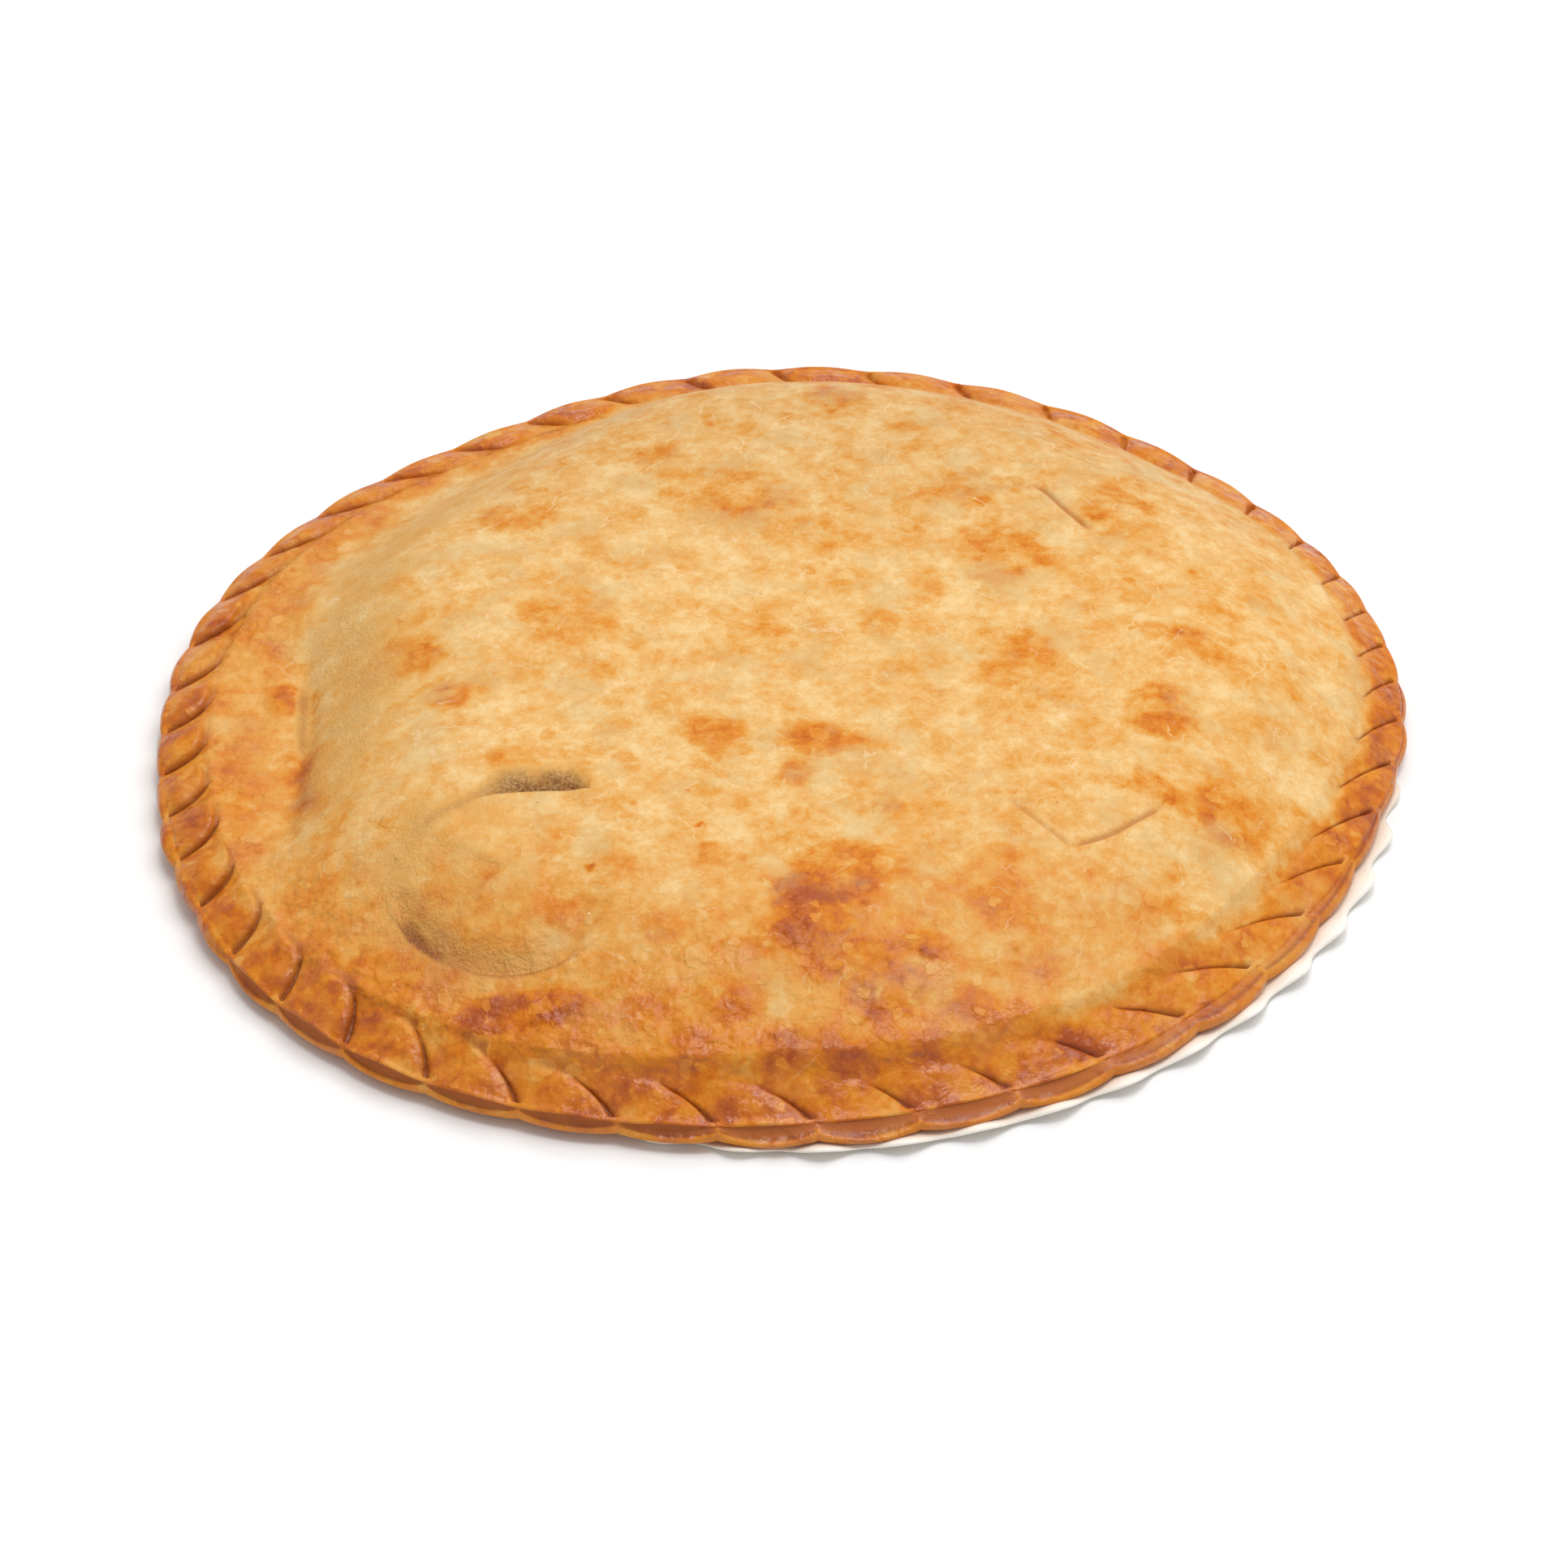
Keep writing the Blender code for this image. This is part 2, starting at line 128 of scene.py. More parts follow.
# The same where the edge is plainly rounded: at a pinch and midway
PLAIN_SIDE = (
    ((-0.75, 6.3), (-0.75, 8.0)), ((-0.3, 6.1), (-0.1, 7.75)), ((-0.1, 5.9), (0.45, 7.3)),
    ((0.0, 5.7), (0.85, 6.75)), ((0.05, 5.5), (1.1, 6.2)), ((0.08, 5.3), (1.25, 5.65)),
    ((0.1, 5.1), (1.32, 5.1)), ((0.1, 4.9), (1.32, 4.6)), ((0.08, 4.6), (1.27, 4.15)),
    ((0.05, 4.3), (1.17, 3.7)), ((0.0, 4.0), (1.0, 3.25)), ((-0.1, 3.6), (0.75, 2.85)),
    ((-0.3, 3.2), (0.4, 2.5)), ((-0.6, 2.7), (-0.1, 2.2)), ((-1.0, 2.3), (-0.85, 1.95)),
)
CHIP_ANGLE = 7.2  # torn tip at the right, in degrees
CHIP_SIZE = 1.7
UPPER_SIDE = 5  # this many points of RIM_SIDE belong to the upper lip
LOWER_SIDE = 8  # and from this one on to the lower lip
SIDE_STEPS = 2  # rows of the mesh for each step of that outline
TOP_ROWS = 20
RELAX_ROWS = 6

# Sunken patch
PATCH_CENTRE = (-0.0584, -0.0745)
PATCH_HALF_WIDTH = 0.0260
PATCH_SKEW = -0.20
PATCH_FRONT = 0.028
PATCH_BACK = 0.0313

# Mesh of the top
TOP_SPACING = 0.0012
FINE_SPACING = 0.00055
FINE_REACH = 0.0024
UNDER_SPACING = 0.009
UNDER_INSET = 0.013
GRID_REACH = 0.16

# Blisters and browned spots on the top crust, in millimetres: x, y, half width, half depth,
# how brown it is and how high it stands
SPOTS = (
    (8, -91, 10.5, 13.5, 0.42, 0.9), (22, -109, 10.3, 7.5, 0.36, 0.7), (-14, -33, 7.5, 6.8, 0.3, 0.3),
    (10, -35, 9.7, 6.5, 0.34, 0.3), (50, 36, 13.4, 12.0, 0.3, 0.8), (44, 60, 8.5, 8.5, 0.26, 0.6),
    (83, -23, 9.3, 9.9, 0.34, 0.5), (98, -50, 9.5, 8.8, 0.3, 0.5), (52, -5, 10.0, 14.0, 0.2, 0.2),
    (92, 1, 8.0, 7.5, 0.26, 0.4), (-47, 8, 13.6, 11.5, 0.24, 0.4), (-60, 51, 11.3, 8.0, 0.22, 0.3),
    (-85, 1, 10.0, 7.9, 0.28, 0.4), (-73, -17, 5.8, 5.6, 0.34, 0.4), (-8, 56, 11.2, 10.4, 0.22, 0.3),
    (13, 101, 8.1, 8.2, 0.26, 0.4), (-66, -88, 15.0, 14.0, 0.28, 0.0), (-46, -90, 5.3, 4.2, 0.24, 0.15),
    (77, 52, 10.0, 11.6, 0.24, 0.3), (-30, 74, 8.5, 4.5, 0.18, 0.1), (20, -57, 7.3, 4.2, 0.18, 0.2),
    (4, -46, 4.4, 5.1, 0.24, 0.2), (-14, -74, 3.6, 4.0, 0.24, 0.3), (79, -48, 7.8, 5.5, 0.26, 0.2),
    (54, -98, 7.2, 4.4, 0.26, 0.3), (-54, -111, 17.3, 5.0, 0.52, 0.3), (-29, -115, 8.5, 4.2, 0.3, 0.4),
    (-111, 5, 4.9, 6.5, 0.4, 1.1), (-97, -49, 7.3, 7.6, 0.24, 0.1), (22, 7, 4.7, 7.7, 0.2, 0.1),
    (-2, 5, 5.4, 3.0, 0.22, 0.1), (35, 24, 5.5, 6.3, 0.2, 0.1), (-58, -43, 6.1, 5.2, 0.18, 0.1),
    (83, -79, 8.1, 3.6, 0.18, 0.2), (65, -114, 10.1, 5.2, 0.3, 0.2), (-10, -112, 8.4, 6.1, 0.28, 0.5),
    (7, -122, 13.4, 4.4, 0.28, 0.3), (32, -119, 10.1, 2.8, 0.14, 0.3), (15, -78, 13.0, 8.0, 0.34, 0.4),
    (48, -86, 9.0, 7.0, 0.26, 0.4), (30, -98, 7.0, 4.0, 0.3, 0.4), (16, -103, 11.0, 6.0, 0.42, 0.3),
    (40, -110, 9.0, 4.5, 0.3, 0.3), (-2, -99, 7.0, 5.0, 0.26, 0.3), (-24, -96, 6.0, 5.0, 0.22, 0.3),
    (-40, -77, 1.2, 1.2, 0.6, 0.4), (-17, -65, 1.0, 1.1, 0.45, 0.3), (-20, -53, 1.0, 1.1, 0.45, 0.3),
)


def unit(value):
    """The value, held between 0 and 1."""
    return np.clip(value, 0.0, 1.0)


def smooth(value):
    """Ease from 0 to 1 with flat ends."""
    value = unit(value)
    return value * value * (3.0 - 2.0 * value)


def fall(value):
    """Ease from 1 to 0 with flat ends."""
    return 1.0 - smooth(value)


def bell(value):
    """1 at 0, falling off to both sides."""
    return np.exp(-value ** 2)


def degrees_apart(direction, other):
    """Difference of two directions, at most half a turn either way."""
    return (direction - other + 180.0) % 360.0 - 180.0


def angle_window(direction, middle, half, fade):
    """1 within a range of directions in degrees, easing to 0 outside it."""
    return fall((np.abs(degrees_apart(direction, middle)) - half) / fade)


def turn_window(angle, middle, half, fade):
    """The same for an angle in radians."""
    return angle_window(np.degrees(angle), middle, half, fade)


def gradient_noise(x, y, size, seed):
    """Smooth random field between about -1 and 1, with lumps of a given size."""
    random = np.random.default_rng(seed)
    order = random.permutation(256)
    slopes = random.uniform(0.0, 2.0 * math.pi, 256)
    u = np.asarray(x) / size + 0.37
    v = np.asarray(y) / size + 0.71
    cell_u = np.floor(u).astype(int)
    cell_v = np.floor(v).astype(int)
    part_u = u - cell_u
    part_v = v - cell_v

    def corner(step_u, step_v):
        slot = order[(order[(cell_u + step_u) % 256] + cell_v + step_v) % 256]
        return (np.cos(slopes[slot]) * (part_u - step_u)
                + np.sin(slopes[slot]) * (part_v - step_v))

    ease_u = part_u ** 3 * (part_u * (part_u * 6.0 - 15.0) + 10.0)
    ease_v = part_v ** 3 * (part_v * (part_v * 6.0 - 15.0) + 10.0)
    near = corner(0, 0) * (1.0 - ease_u) + corner(1, 0) * ease_u
    far = corner(0, 1) * (1.0 - ease_u) + corner(1, 1) * ease_u
    return 1.5 * (near * (1.0 - ease_v) + far * ease_v)


def edge_radius(angle):
    """Radius of the crust's outline, at the pinches."""
    share = 1.0
    for count, size, crest in OUTLINE_WAVES:
        share = share + size * np.cos(count * (angle - math.radians(crest)))
    return EDGE_RADIUS * share + ring_table(OUTLINE_TRIM, angle) * MM


def ring_point(angle, radius):
    """Place of a point round the ring's middle."""
    return radius * np.cos(angle) + RING_CENTRE[0], radius * np.sin(angle) + RING_CENTRE[1]


def local_swell(swells, angle):
    """Sum of the extra sizes that a list of swells gives at a direction."""
    total = 0.0
    for extra, middle, spread in swells:
        away = degrees_apart(np.degrees(angle), middle)
        total = total + extra * bell(away / spread)
    return total


def ring_table(values, angle):
    """Smooth value at a direction from a table with one value each 15 degrees."""
    total = 0.0
    weight = 0.0
    for number, value in enumerate(values):
        away = degrees_apart(np.degrees(angle), TABLE_STEP * number)
        share = bell(away / TABLE_SPREAD)
        total = total + value * share
        weight = weight + share
    return total / weight


def flange_width(angle):
    """Distance from the edge to the foot of the dome."""
    return FLANGE_WIDTH + local_swell(FLANGE_SWELLS, angle)


def foot_softness(angle):
    """How gently the dome rises at a direction: it has a crease at its foot at the left."""
    crease = turn_window(angle, *FOOT_CREASE)
    behind = turn_window(angle, 92.0, 40.0, 30.0)
    front = turn_window(angle, 275.0, 40.0, 30.0)
    return FOOT_SOFTNESS * (1.0 - 0.8 * crease - 0.55 * behind + 0.40 * front)


def dome_height(angle, inward):
    """Height of the plain top crust."""
    straight = (inward - flange_width(angle)) / RISE_LENGTH
    soft = foot_softness(angle)
    rise = unit(0.5 * (straight + np.sqrt(straight * straight + soft * soft)))
    power = RISE_POWER + local_swell(RISE_SWELLS, angle)
    return FLANGE_Z + (TOP_Z - FLANGE_Z) * (1.0 - (1.0 - rise) ** power)


def underside_height(inward):
    """Height of the crust's underside, which lifts off towards the rim."""
    lift = 1.0 - unit(inward / UNDERCUT_REACH)
    return BOTTOM_Z + (LIP_BOTTOM_Z - BOTTOM_Z) * lift


def crimp_angle(count):
    """Direction of a pinch at the outer edge, for a pinch number with a fraction."""
    turn = 2.0 * math.pi * count / CRIMPS + FIRST_CRIMP
    angle = turn
    for waves, swing, phase in CRIMP_WAVES:
        angle = angle + math.radians(swing) * np.cos(waves * turn + math.radians(phase))
    return angle


def lean_run(inward, angle):
    """How far a pinch has run sideways at a distance in from the edge."""
    inward = np.clip(inward, 0.0, LEAN_REACH + local_swell(REACH_SWELLS, angle))
    lean = ring_table(LEANS, angle)
    return inward * (lean + ring_table(HOOKS, angle) * (inward / CRIMP_REACH) ** 2)


def swell(phase):
    """Height of a fold between two pinches: a slow rise and a steep drop."""
    rising = np.sin(0.5 * math.pi * unit(phase / CREST_PHASE)) ** SWELL_POWER
    drop = unit((phase - CREST_PHASE) / (1.0 - CREST_PHASE))
    return np.where(phase < CREST_PHASE, rising, np.sqrt(1.0 - drop * drop))


def opening(phase):
    """How far the two lips stand apart between two pinches."""
    return np.sin(math.pi * unit(phase)) ** 0.7


# Small differences from one crimp to the next
CRIMP_RANDOM = np.random.default_rng(11)
CRIMP_TRAITS = ("ridge", "upper", "lower", "hollow", "reach", "crease", "tone")
CRIMP_SHARE = {name: CRIMP_RANDOM.uniform(-1.0, 1.0, CRIMPS) for name in CRIMP_TRAITS}


def bluntness(phase, start):
    """How blunt a fold's inner end is, from one pinch to the next."""
    return smooth((phase - start) / 0.45) * (1.0 - 0.40 * smooth((phase - 0.80) / 0.20))


def tongue_end(blunt, crimp, angle):
    """How far in a fold starts to fall away, and over what length."""
    start = (3.8 + (3.4 + 0.6 * CRIMP_SHARE["reach"][crimp]) * blunt) * MM
    start = start + local_swell(REACH_SWELLS, angle) * (0.25 + 0.65 * blunt)
    front = turn_window(angle, 275.0, 45.0, 25.0)
    return start - 0.8 * front * MM, (6.0 - (4.2 - 2.2 * front) * blunt) * MM


def rim_top(inward, phase, crimp, angle):
    """Height of the rim's upper side."""
    along = unit(inward / CRIMP_REACH)
    foot = dome_height(angle, inward)
    groove = foot - (EDGE_DROP + foot - FLANGE_Z) * (1.0 - along ** GROOVE_POWER)
    rising = RIDGE_AT_EDGE + (1.0 - RIDGE_AT_EDGE) * smooth(along / RIDGE_RISE)
    fade_start, fade_length = tongue_end(bluntness(phase, 0.08), crimp, angle)
    fading = fall((inward - fade_start) / fade_length)
    height = RIDGE_HEIGHT + local_swell(RIDGE_SWELLS, angle)
    height = height * (1.0 + 0.18 * CRIMP_SHARE["ridge"][crimp])
    arch = opening(phase) + (swell(phase) - opening(phase)) * 0.62 * smooth(inward / 0.0035)
    return groove + height * rising * fading * arch


def crease_mask(inward, phase, crimp, angle):
    """How deep in the crease between two folds a point of the rim's top lies."""
    side = np.minimum(phase, 1.0 - phase) * CRIMP_PITCH
    reach = (6.8 + 0.9 * CRIMP_SHARE["crease"][crimp]) * MM + local_swell(REACH_SWELLS, angle)
    width = CREASE_WIDTH * (0.75 + 0.5 * smooth(1.0 - inward / reach))
    return bell(side / width) * fall((inward - reach) / 0.0025)


def patch_place(x, y):
    """A point's place in the sunken patch: across, share of its radius, direction."""
    back = y - PATCH_CENTRE[1]
    across = x - PATCH_CENTRE[0] - PATCH_SKEW * np.minimum(back, 0.0)
    reach = np.where(back > 0.0, PATCH_BACK, PATCH_FRONT)
    share = np.hypot(across / PATCH_HALF_WIDTH, back / reach)
    return across, share, np.degrees(np.arctan2(back, across)) % 360.0


# Line where the patch's front lip stands in front of a hollow
LIP_START = (-0.0685, -0.0546)
LIP_MIDDLE = (-0.0560, -0.0528)
LIP_END = (-0.0408, -0.0520)
LIP_STEP = 0.0003
LIP_POINTS = 52


def lip_line(x):
    """Distance back of the lip's line, and how far along it a point is."""
    along = (x - LIP_START[0]) / (LIP_END[0] - LIP_START[0])
    middle = (LIP_MIDDLE[0] - LIP_START[0]) / (LIP_END[0] - LIP_START[0])
    straight = LIP_START[1] + (LIP_END[1] - LIP_START[1]) * along
    at_middle = LIP_START[1] + (LIP_END[1] - LIP_START[1]) * middle
    bow = (LIP_MIDDLE[1] - at_middle) / (middle * (1.0 - middle))
    return straight + bow * along * (1.0 - along), along


def patch_sink(x, y):
    """How far the top crust is sunk in and round the patch."""
    _, share, direction = patch_place(x, y)
    front = angle_window(direction, 255.0, 52.0, 30.0)
    right = angle_window(direction, 350.0, 38.0, 30.0)
    soft = (0.9 + 3.6 * (1.0 - front) + 5.5 * right) * MM
    outside = (share - 1.0) * PATCH_HALF_WIDTH
    inside = fall(outside / soft + 1.0)
    valley = bell((share - 0.90) / 0.16)
    depth = 1.25 + 2.2 * front * valley - 0.55 * unit(1.0 - share * share)
    depth = depth - 0.9 * right * valley
    line, along = lip_line(x)
    behind = y - line
    ends = smooth((along + 0.10) / 0.45) * fall((along - 0.88) / 0.14)
    uneven = 1.0 + 0.25 * gradient_noise(x, y, 0.006, 31)
    wall = fall(behind / (9.5 * MM * uneven)) ** 1.3
    hollow = np.where(behind > 0.0, (2.4 + 2.0 * smooth(along)) * ends * wall, 0.0)
    floor = np.where(behind > 0.0, fall(behind / (6.0 * MM)) * depth, depth)
    lip = np.where(behind > 0.0, 0.0, 0.25 * bell(behind / (2.0 * MM)) * ends)
    slope = 1.3 * angle_window(direction, 183.0, 30.0, 26.0) * fall((share - 0.95) / 0.45)
    return (np.maximum(np.maximum(floor * inside, hollow), slope) - lip) * MM


# Slits cut in the dough, as lines of points in millimetres: depth and width too
SLITS = (
    (((49.4, -55.9), (55.5, -62.6), (62.0, -68.5)), 0.38, 0.6),
    (((62.8, -68.2), (71.5, -63.0), (81.9, -53.6)), 0.65, 0.6),
    (((58.5, 62.0), (61.0, 60.0), (65.5, 52.0), (70.6, 44.0)), 0.7, 0.7),
    (((38.9, 56.2), (49.0, 60.5), (58.5, 62.0)), 0.15, 1.2),
)
FINE_SLITS = 3  # so many of them have a fine mesh
# Crease at the dome's foot and bend by the patch, both painted greenish grey and darker: the dough's
# own tone and painted shade; and toasted line, the same way
FOOT_LINE = ((-107.4, 16.0), (-106.9, 4.0), (-106.6, -8.0), (-105.4, -18.0))
BEND_LINE = ((-66.5, -54.2), (-73.0, -57.0), (-79.0, -62.5), (-82.0, -70.0))
TOASTED_LINE = ((-105.6, -20.0), (-104.2, -31.0), (-102.6, -41.0))


def line_distance(x, y, points):
    """Distance to a line of points in millimetres, and share of its length at the nearest."""
    best = np.full(np.shape(x), 1e9)
    place = np.zeros(np.shape(x))
    lengths = [math.dist(a, b) for a, b in zip(points, points[1:])]
    run = 0.0
    for (a, b), length in zip(zip(points, points[1:]), lengths):
        ax, ay = a[0] * MM, a[1] * MM
        dx, dy = (b[0] - a[0]) * MM, (b[1] - a[1]) * MM
        t = unit(((x - ax) * dx + (y - ay) * dy) / (dx * dx + dy * dy))
        away = np.hypot(x - ax - t * dx, y - ay - t * dy)
        nearer = away < best
        best = np.where(nearer, away, best)
        place = np.where(nearer, (run + t * length) / sum(lengths), place)
        run += length
    return best, place


def slit_mask(x, y):
    """How deep in one of the slits a point lies, and how much painted shade it gets there."""
    depth = 0.0
    dark = 0.0
    for points, deep, wide in SLITS:
        away, place = line_distance(x, y, points)
        ends = smooth(place / 0.12) * fall((place - 0.88) / 0.12)
        near = bell(away / (wide * MM)) * (0.35 + 0.65 * ends)
        depth = depth + deep * near
        dark = dark + deep * bell(away / (0.8 * wide * MM)) * (0.3 + 0.7 * ends)
    return depth * MM, unit(dark * 1.5)


def spot_fields(x, y):
    """Brownness and height that the blisters and browned spots give."""
    brown = np.zeros(np.shape(x))
    height = np.zeros(np.shape(x))
    for number, (sx, sy, half_x, half_y, strength, high) in enumerate(SPOTS):
        dx = (x / MM - sx) / half_x
        dy = (y / MM - sy) / half_y
        wide = max(half_x, half_y)
        ragged = 0.24 * gradient_noise(x, y, wide * 0.7 * MM, 100 + number)
        crisp = 0.5 + 0.5 * gradient_noise(x, y, wide * 1.3 * MM, 200 + number)
        share = np.hypot(dx, dy) + ragged
        fade = 0.25 + 0.55 * unit(crisp)
        brown = np.maximum(brown, strength * fall((share - 1.05 + 0.8 * fade) / fade))
        height = height + high * MM * fall(share / 1.15)
    return brown, height


def crust_fields(x, y, angle, inward):
    """Relief and finish of the top crust at points, apart from the crimps, with painted shade in the
    slits.
    """
    on_dome = smooth((inward - flange_width(angle)) / 0.016)
    off_rim = smooth((inward - 0.005) / 0.009)
    undulation = 0.55 * gradient_noise(x, y, 0.042, 1) + 0.30 * gradient_noise(x, y, 0.019, 2)
    fine = 0.10 * gradient_noise(x, y, 0.0085, 3) + 0.05 * gradient_noise(x, y, 0.0042, 4)
    glazed = glaze_mask(angle, inward)
    fine = fine + glazed * (0.34 * gradient_noise(x, y, 0.0075, 5)
                            + 0.20 * gradient_noise(x, y, 0.0040, 6))
    brown, blister = spot_fields(x, y)
    slit_depth, slit_dark = slit_mask(x, y)
    relief = (undulation * on_dome + fine) * MM * off_rim
    foot = bell((inward - flange_width(angle) - 0.0012) / 0.0022)
    relief = relief - 0.0009 * foot * turn_window(angle, *FOOT_CREASE)
    relief = relief + blister * off_rim - slit_depth - patch_sink(x, y)
    return relief, {"brown": brown, "slit": slit_dark, "glaze": glazed}


# How far in from the edge the crust is glazed orange, in millimetres, and how strongly,
# one each 15 degrees
GLAZE_REACH = (
    8.5, 8.0, 9.0, 10.0, 11.0, 12.0, 12.0, 12.0, 13.0, 16.0, 19.0, 24.0,
    30.0, 31.0, 27.0, 25.0, 25.0, 23.0, 21.0, 18.0, 14.0, 11.0, 9.5, 9.0,
)
GLAZE_STRENGTH = (
    0.68, 0.68, 0.66, 0.68, 0.72, 0.78, 0.85, 0.85, 0.85, 0.78, 0.72, 0.66,
    0.63, 0.62, 0.68, 0.92, 1.00, 1.00, 0.94, 0.88, 0.82, 0.70, 0.64, 0.60,
)


def glaze_mask(angle, inward):
    """Where egg wash and heat have turned the crust orange: the rim and the front."""
    reach = ring_table(GLAZE_REACH, angle) * MM
    radius = edge_radius(angle) - inward
    x = radius * np.cos(angle)
    y = radius * np.sin(angle)
    uneven = 3.2 * gradient_noise(x, y, 0.016, 61) + 1.8 * gradient_noise(x, y, 0.006, 62)
    ragged = inward + uneven * MM * smooth((inward - 0.004) / 0.008)
    near = fall((ragged - reach * 0.55) / (reach * 0.85))
    front = turn_window(angle, 262.0, 34.0, 30.0)
    far = 0.50 * front * fall((inward - 0.032) / 0.040)
    strength = ring_table(GLAZE_STRENGTH, angle)
    on_rim = fall((inward - 0.0055) / 0.0045)
    strength = strength + (0.96 - strength) * 0.60 * on_rim
    return np.maximum(strength * near, far)


FIELD_NAMES = ("brown", "glaze", "crevice", "lens", "slit", "olive", "grain", "lip", "tone", "rim")


class Crust:
    """Mesh of the crust while it is being put together."""

    def __init__(self):
        self.places = []
        self.fields = {}
        self.faces = []
        self.count = 0

    def add(self, x, y, z, **fields):
        """Add a row of vertices and give their numbers."""
        first = self.count
        size = len(x)
        self.places.append(np.column_stack([x, y, z]))
        for name in FIELD_NAMES:
            values = np.broadcast_to(fields.get(name, 0.0), (size,))
            self.fields.setdefault(name, []).append(values)
        self.count += size
        return np.arange(first, first + size)

    def strip(self, upper, lower):
        """Join two closed rows of the same length."""
        self.faces.append(np.column_stack([upper, lower, np.roll(lower, -1), np.roll(upper, -1)]))


def catmull(rows, steps):
    """Smooth rows of points through given rows, with steps between two of them."""
    result = []
    last = len(rows) - 1
    for index in range(last):
        before = rows[max(index - 1, 0)]
        here = rows[index]
        there = rows[index + 1]
        after = rows[min(index + 2, last)]
        for step in range(steps):
            t = step / steps
            result.append(0.5 * (2.0 * here + (there - before) * t
                                 + (2.0 * before - 5.0 * here + 4.0 * there - after) * t * t
                                 + (3.0 * here - before - 3.0 * there + after) * t ** 3))
    result.append(rows[last])
    return result


def finish_fields(x, y, angle, inward, extra):
    """Finish of points on the top crust, with painted shade in and round the patch and in the dome's
    foot crease; the rim adds the crimps' own marks to it.
    """
    across, share, direction = patch_place(x, y)
    front = angle_window(direction, 232.0, 30.0, 44.0)
    mottled = gradient_noise(x, y, 0.0045, 41)
    from_edge = np.minimum(share - 0.90, 0.0) / (0.16 + 0.04 * mottled)
    within = share < 1.005
    valley = bell(from_edge) * front * within
    core = smooth((share - 0.83 - 0.02 * mottled) / 0.07) * within
    core = core * angle_window(direction, 214.0, 7.0, 15.0)
    line, along = lip_line(x)
    behind = y - line
    high = 9.6 + 1.2 * mottled + 1.4 * gradient_noise(x, y, 0.0016, 43)
    high = high * smooth((along + 0.15) / 0.5) * fall((along - 0.85) / 0.17) * MM + 0.0001
    wall = fall((behind / high - 0.30) / 0.70) * (behind > 0.0)
    wall = wall * smooth((along + 0.10) / 0.4) * (along < 1.0)
    broad = angle_window(direction, 198.0, 56.0, 32.0) * bell((share - 0.86) / 0.20)
    floor = smooth((1.0 - share) / 0.25) * smooth((0.014 - across) / 0.020)
    away, place = line_distance(x, y, FOOT_LINE)
    foot = bell(away / 0.0013) * smooth(place / 0.35) * fall((place - 0.8) / 0.2)
    low = fall(behind / 0.0035)
    darker = 0.30 * smooth((along - 0.25) / 0.35) + 0.20 * low * smooth((along - 0.10) / 0.4)
    bend, place = line_distance(x, y, BEND_LINE)
    slope_left = turn_window(angle, 168.0, 28.0, 22.0)
    slope_left = slope_left * bell((inward - flange_width(angle) - 0.013) / 0.011)
    # Greenish grey of less-baked dough on the patch's floor and the slopes left of it, and painted
    # shade: on the wall behind the patch's lip, darker towards its right end and next to the lip, in
    # the core of its lower-left crease, in its front valley, along the bend and in the dome's foot
    # crease
    olive = np.maximum.reduce([
        wall * (0.62 + darker + 0.12 * mottled),
        0.36 * bell(bend / 0.0020) * fall((place - 0.3) / 0.7),
        0.22 * valley * (1.0 + 0.5 * mottled),
        0.90 * core,
        0.16 * broad * (1.0 + 0.6 * mottled),
        0.07 * floor * (1.0 + 0.8 * mottled),
        0.13 * slope_left * (1.0 + 0.8 * mottled),
        0.45 * foot,
    ])
    toasted = line_distance(x, y, TOASTED_LINE)[0]
    slope = angle_window(direction, 183.0, 38.0, 20.0) * fall((share - 1.28) / 0.06)
    # painted shade: a dark line along the patch's front edge, where its rim stands in front of the
    # hollow
    edge = bell((share - 1.0) * PATCH_HALF_WIDTH / (0.5 * MM))
    return {
        "brown": np.maximum(extra["brown"], 0.50 * bell(toasted / 0.0036)),
        "glaze": extra["glaze"],
        "olive": unit(olive),
        "grain": unit(valley + wall + np.maximum(broad, 0.7 * slope) + foot + slope_left),
        "slit": np.maximum(extra["slit"], edge * angle_window(direction, 250.0, 30.0, 30.0)),
    }


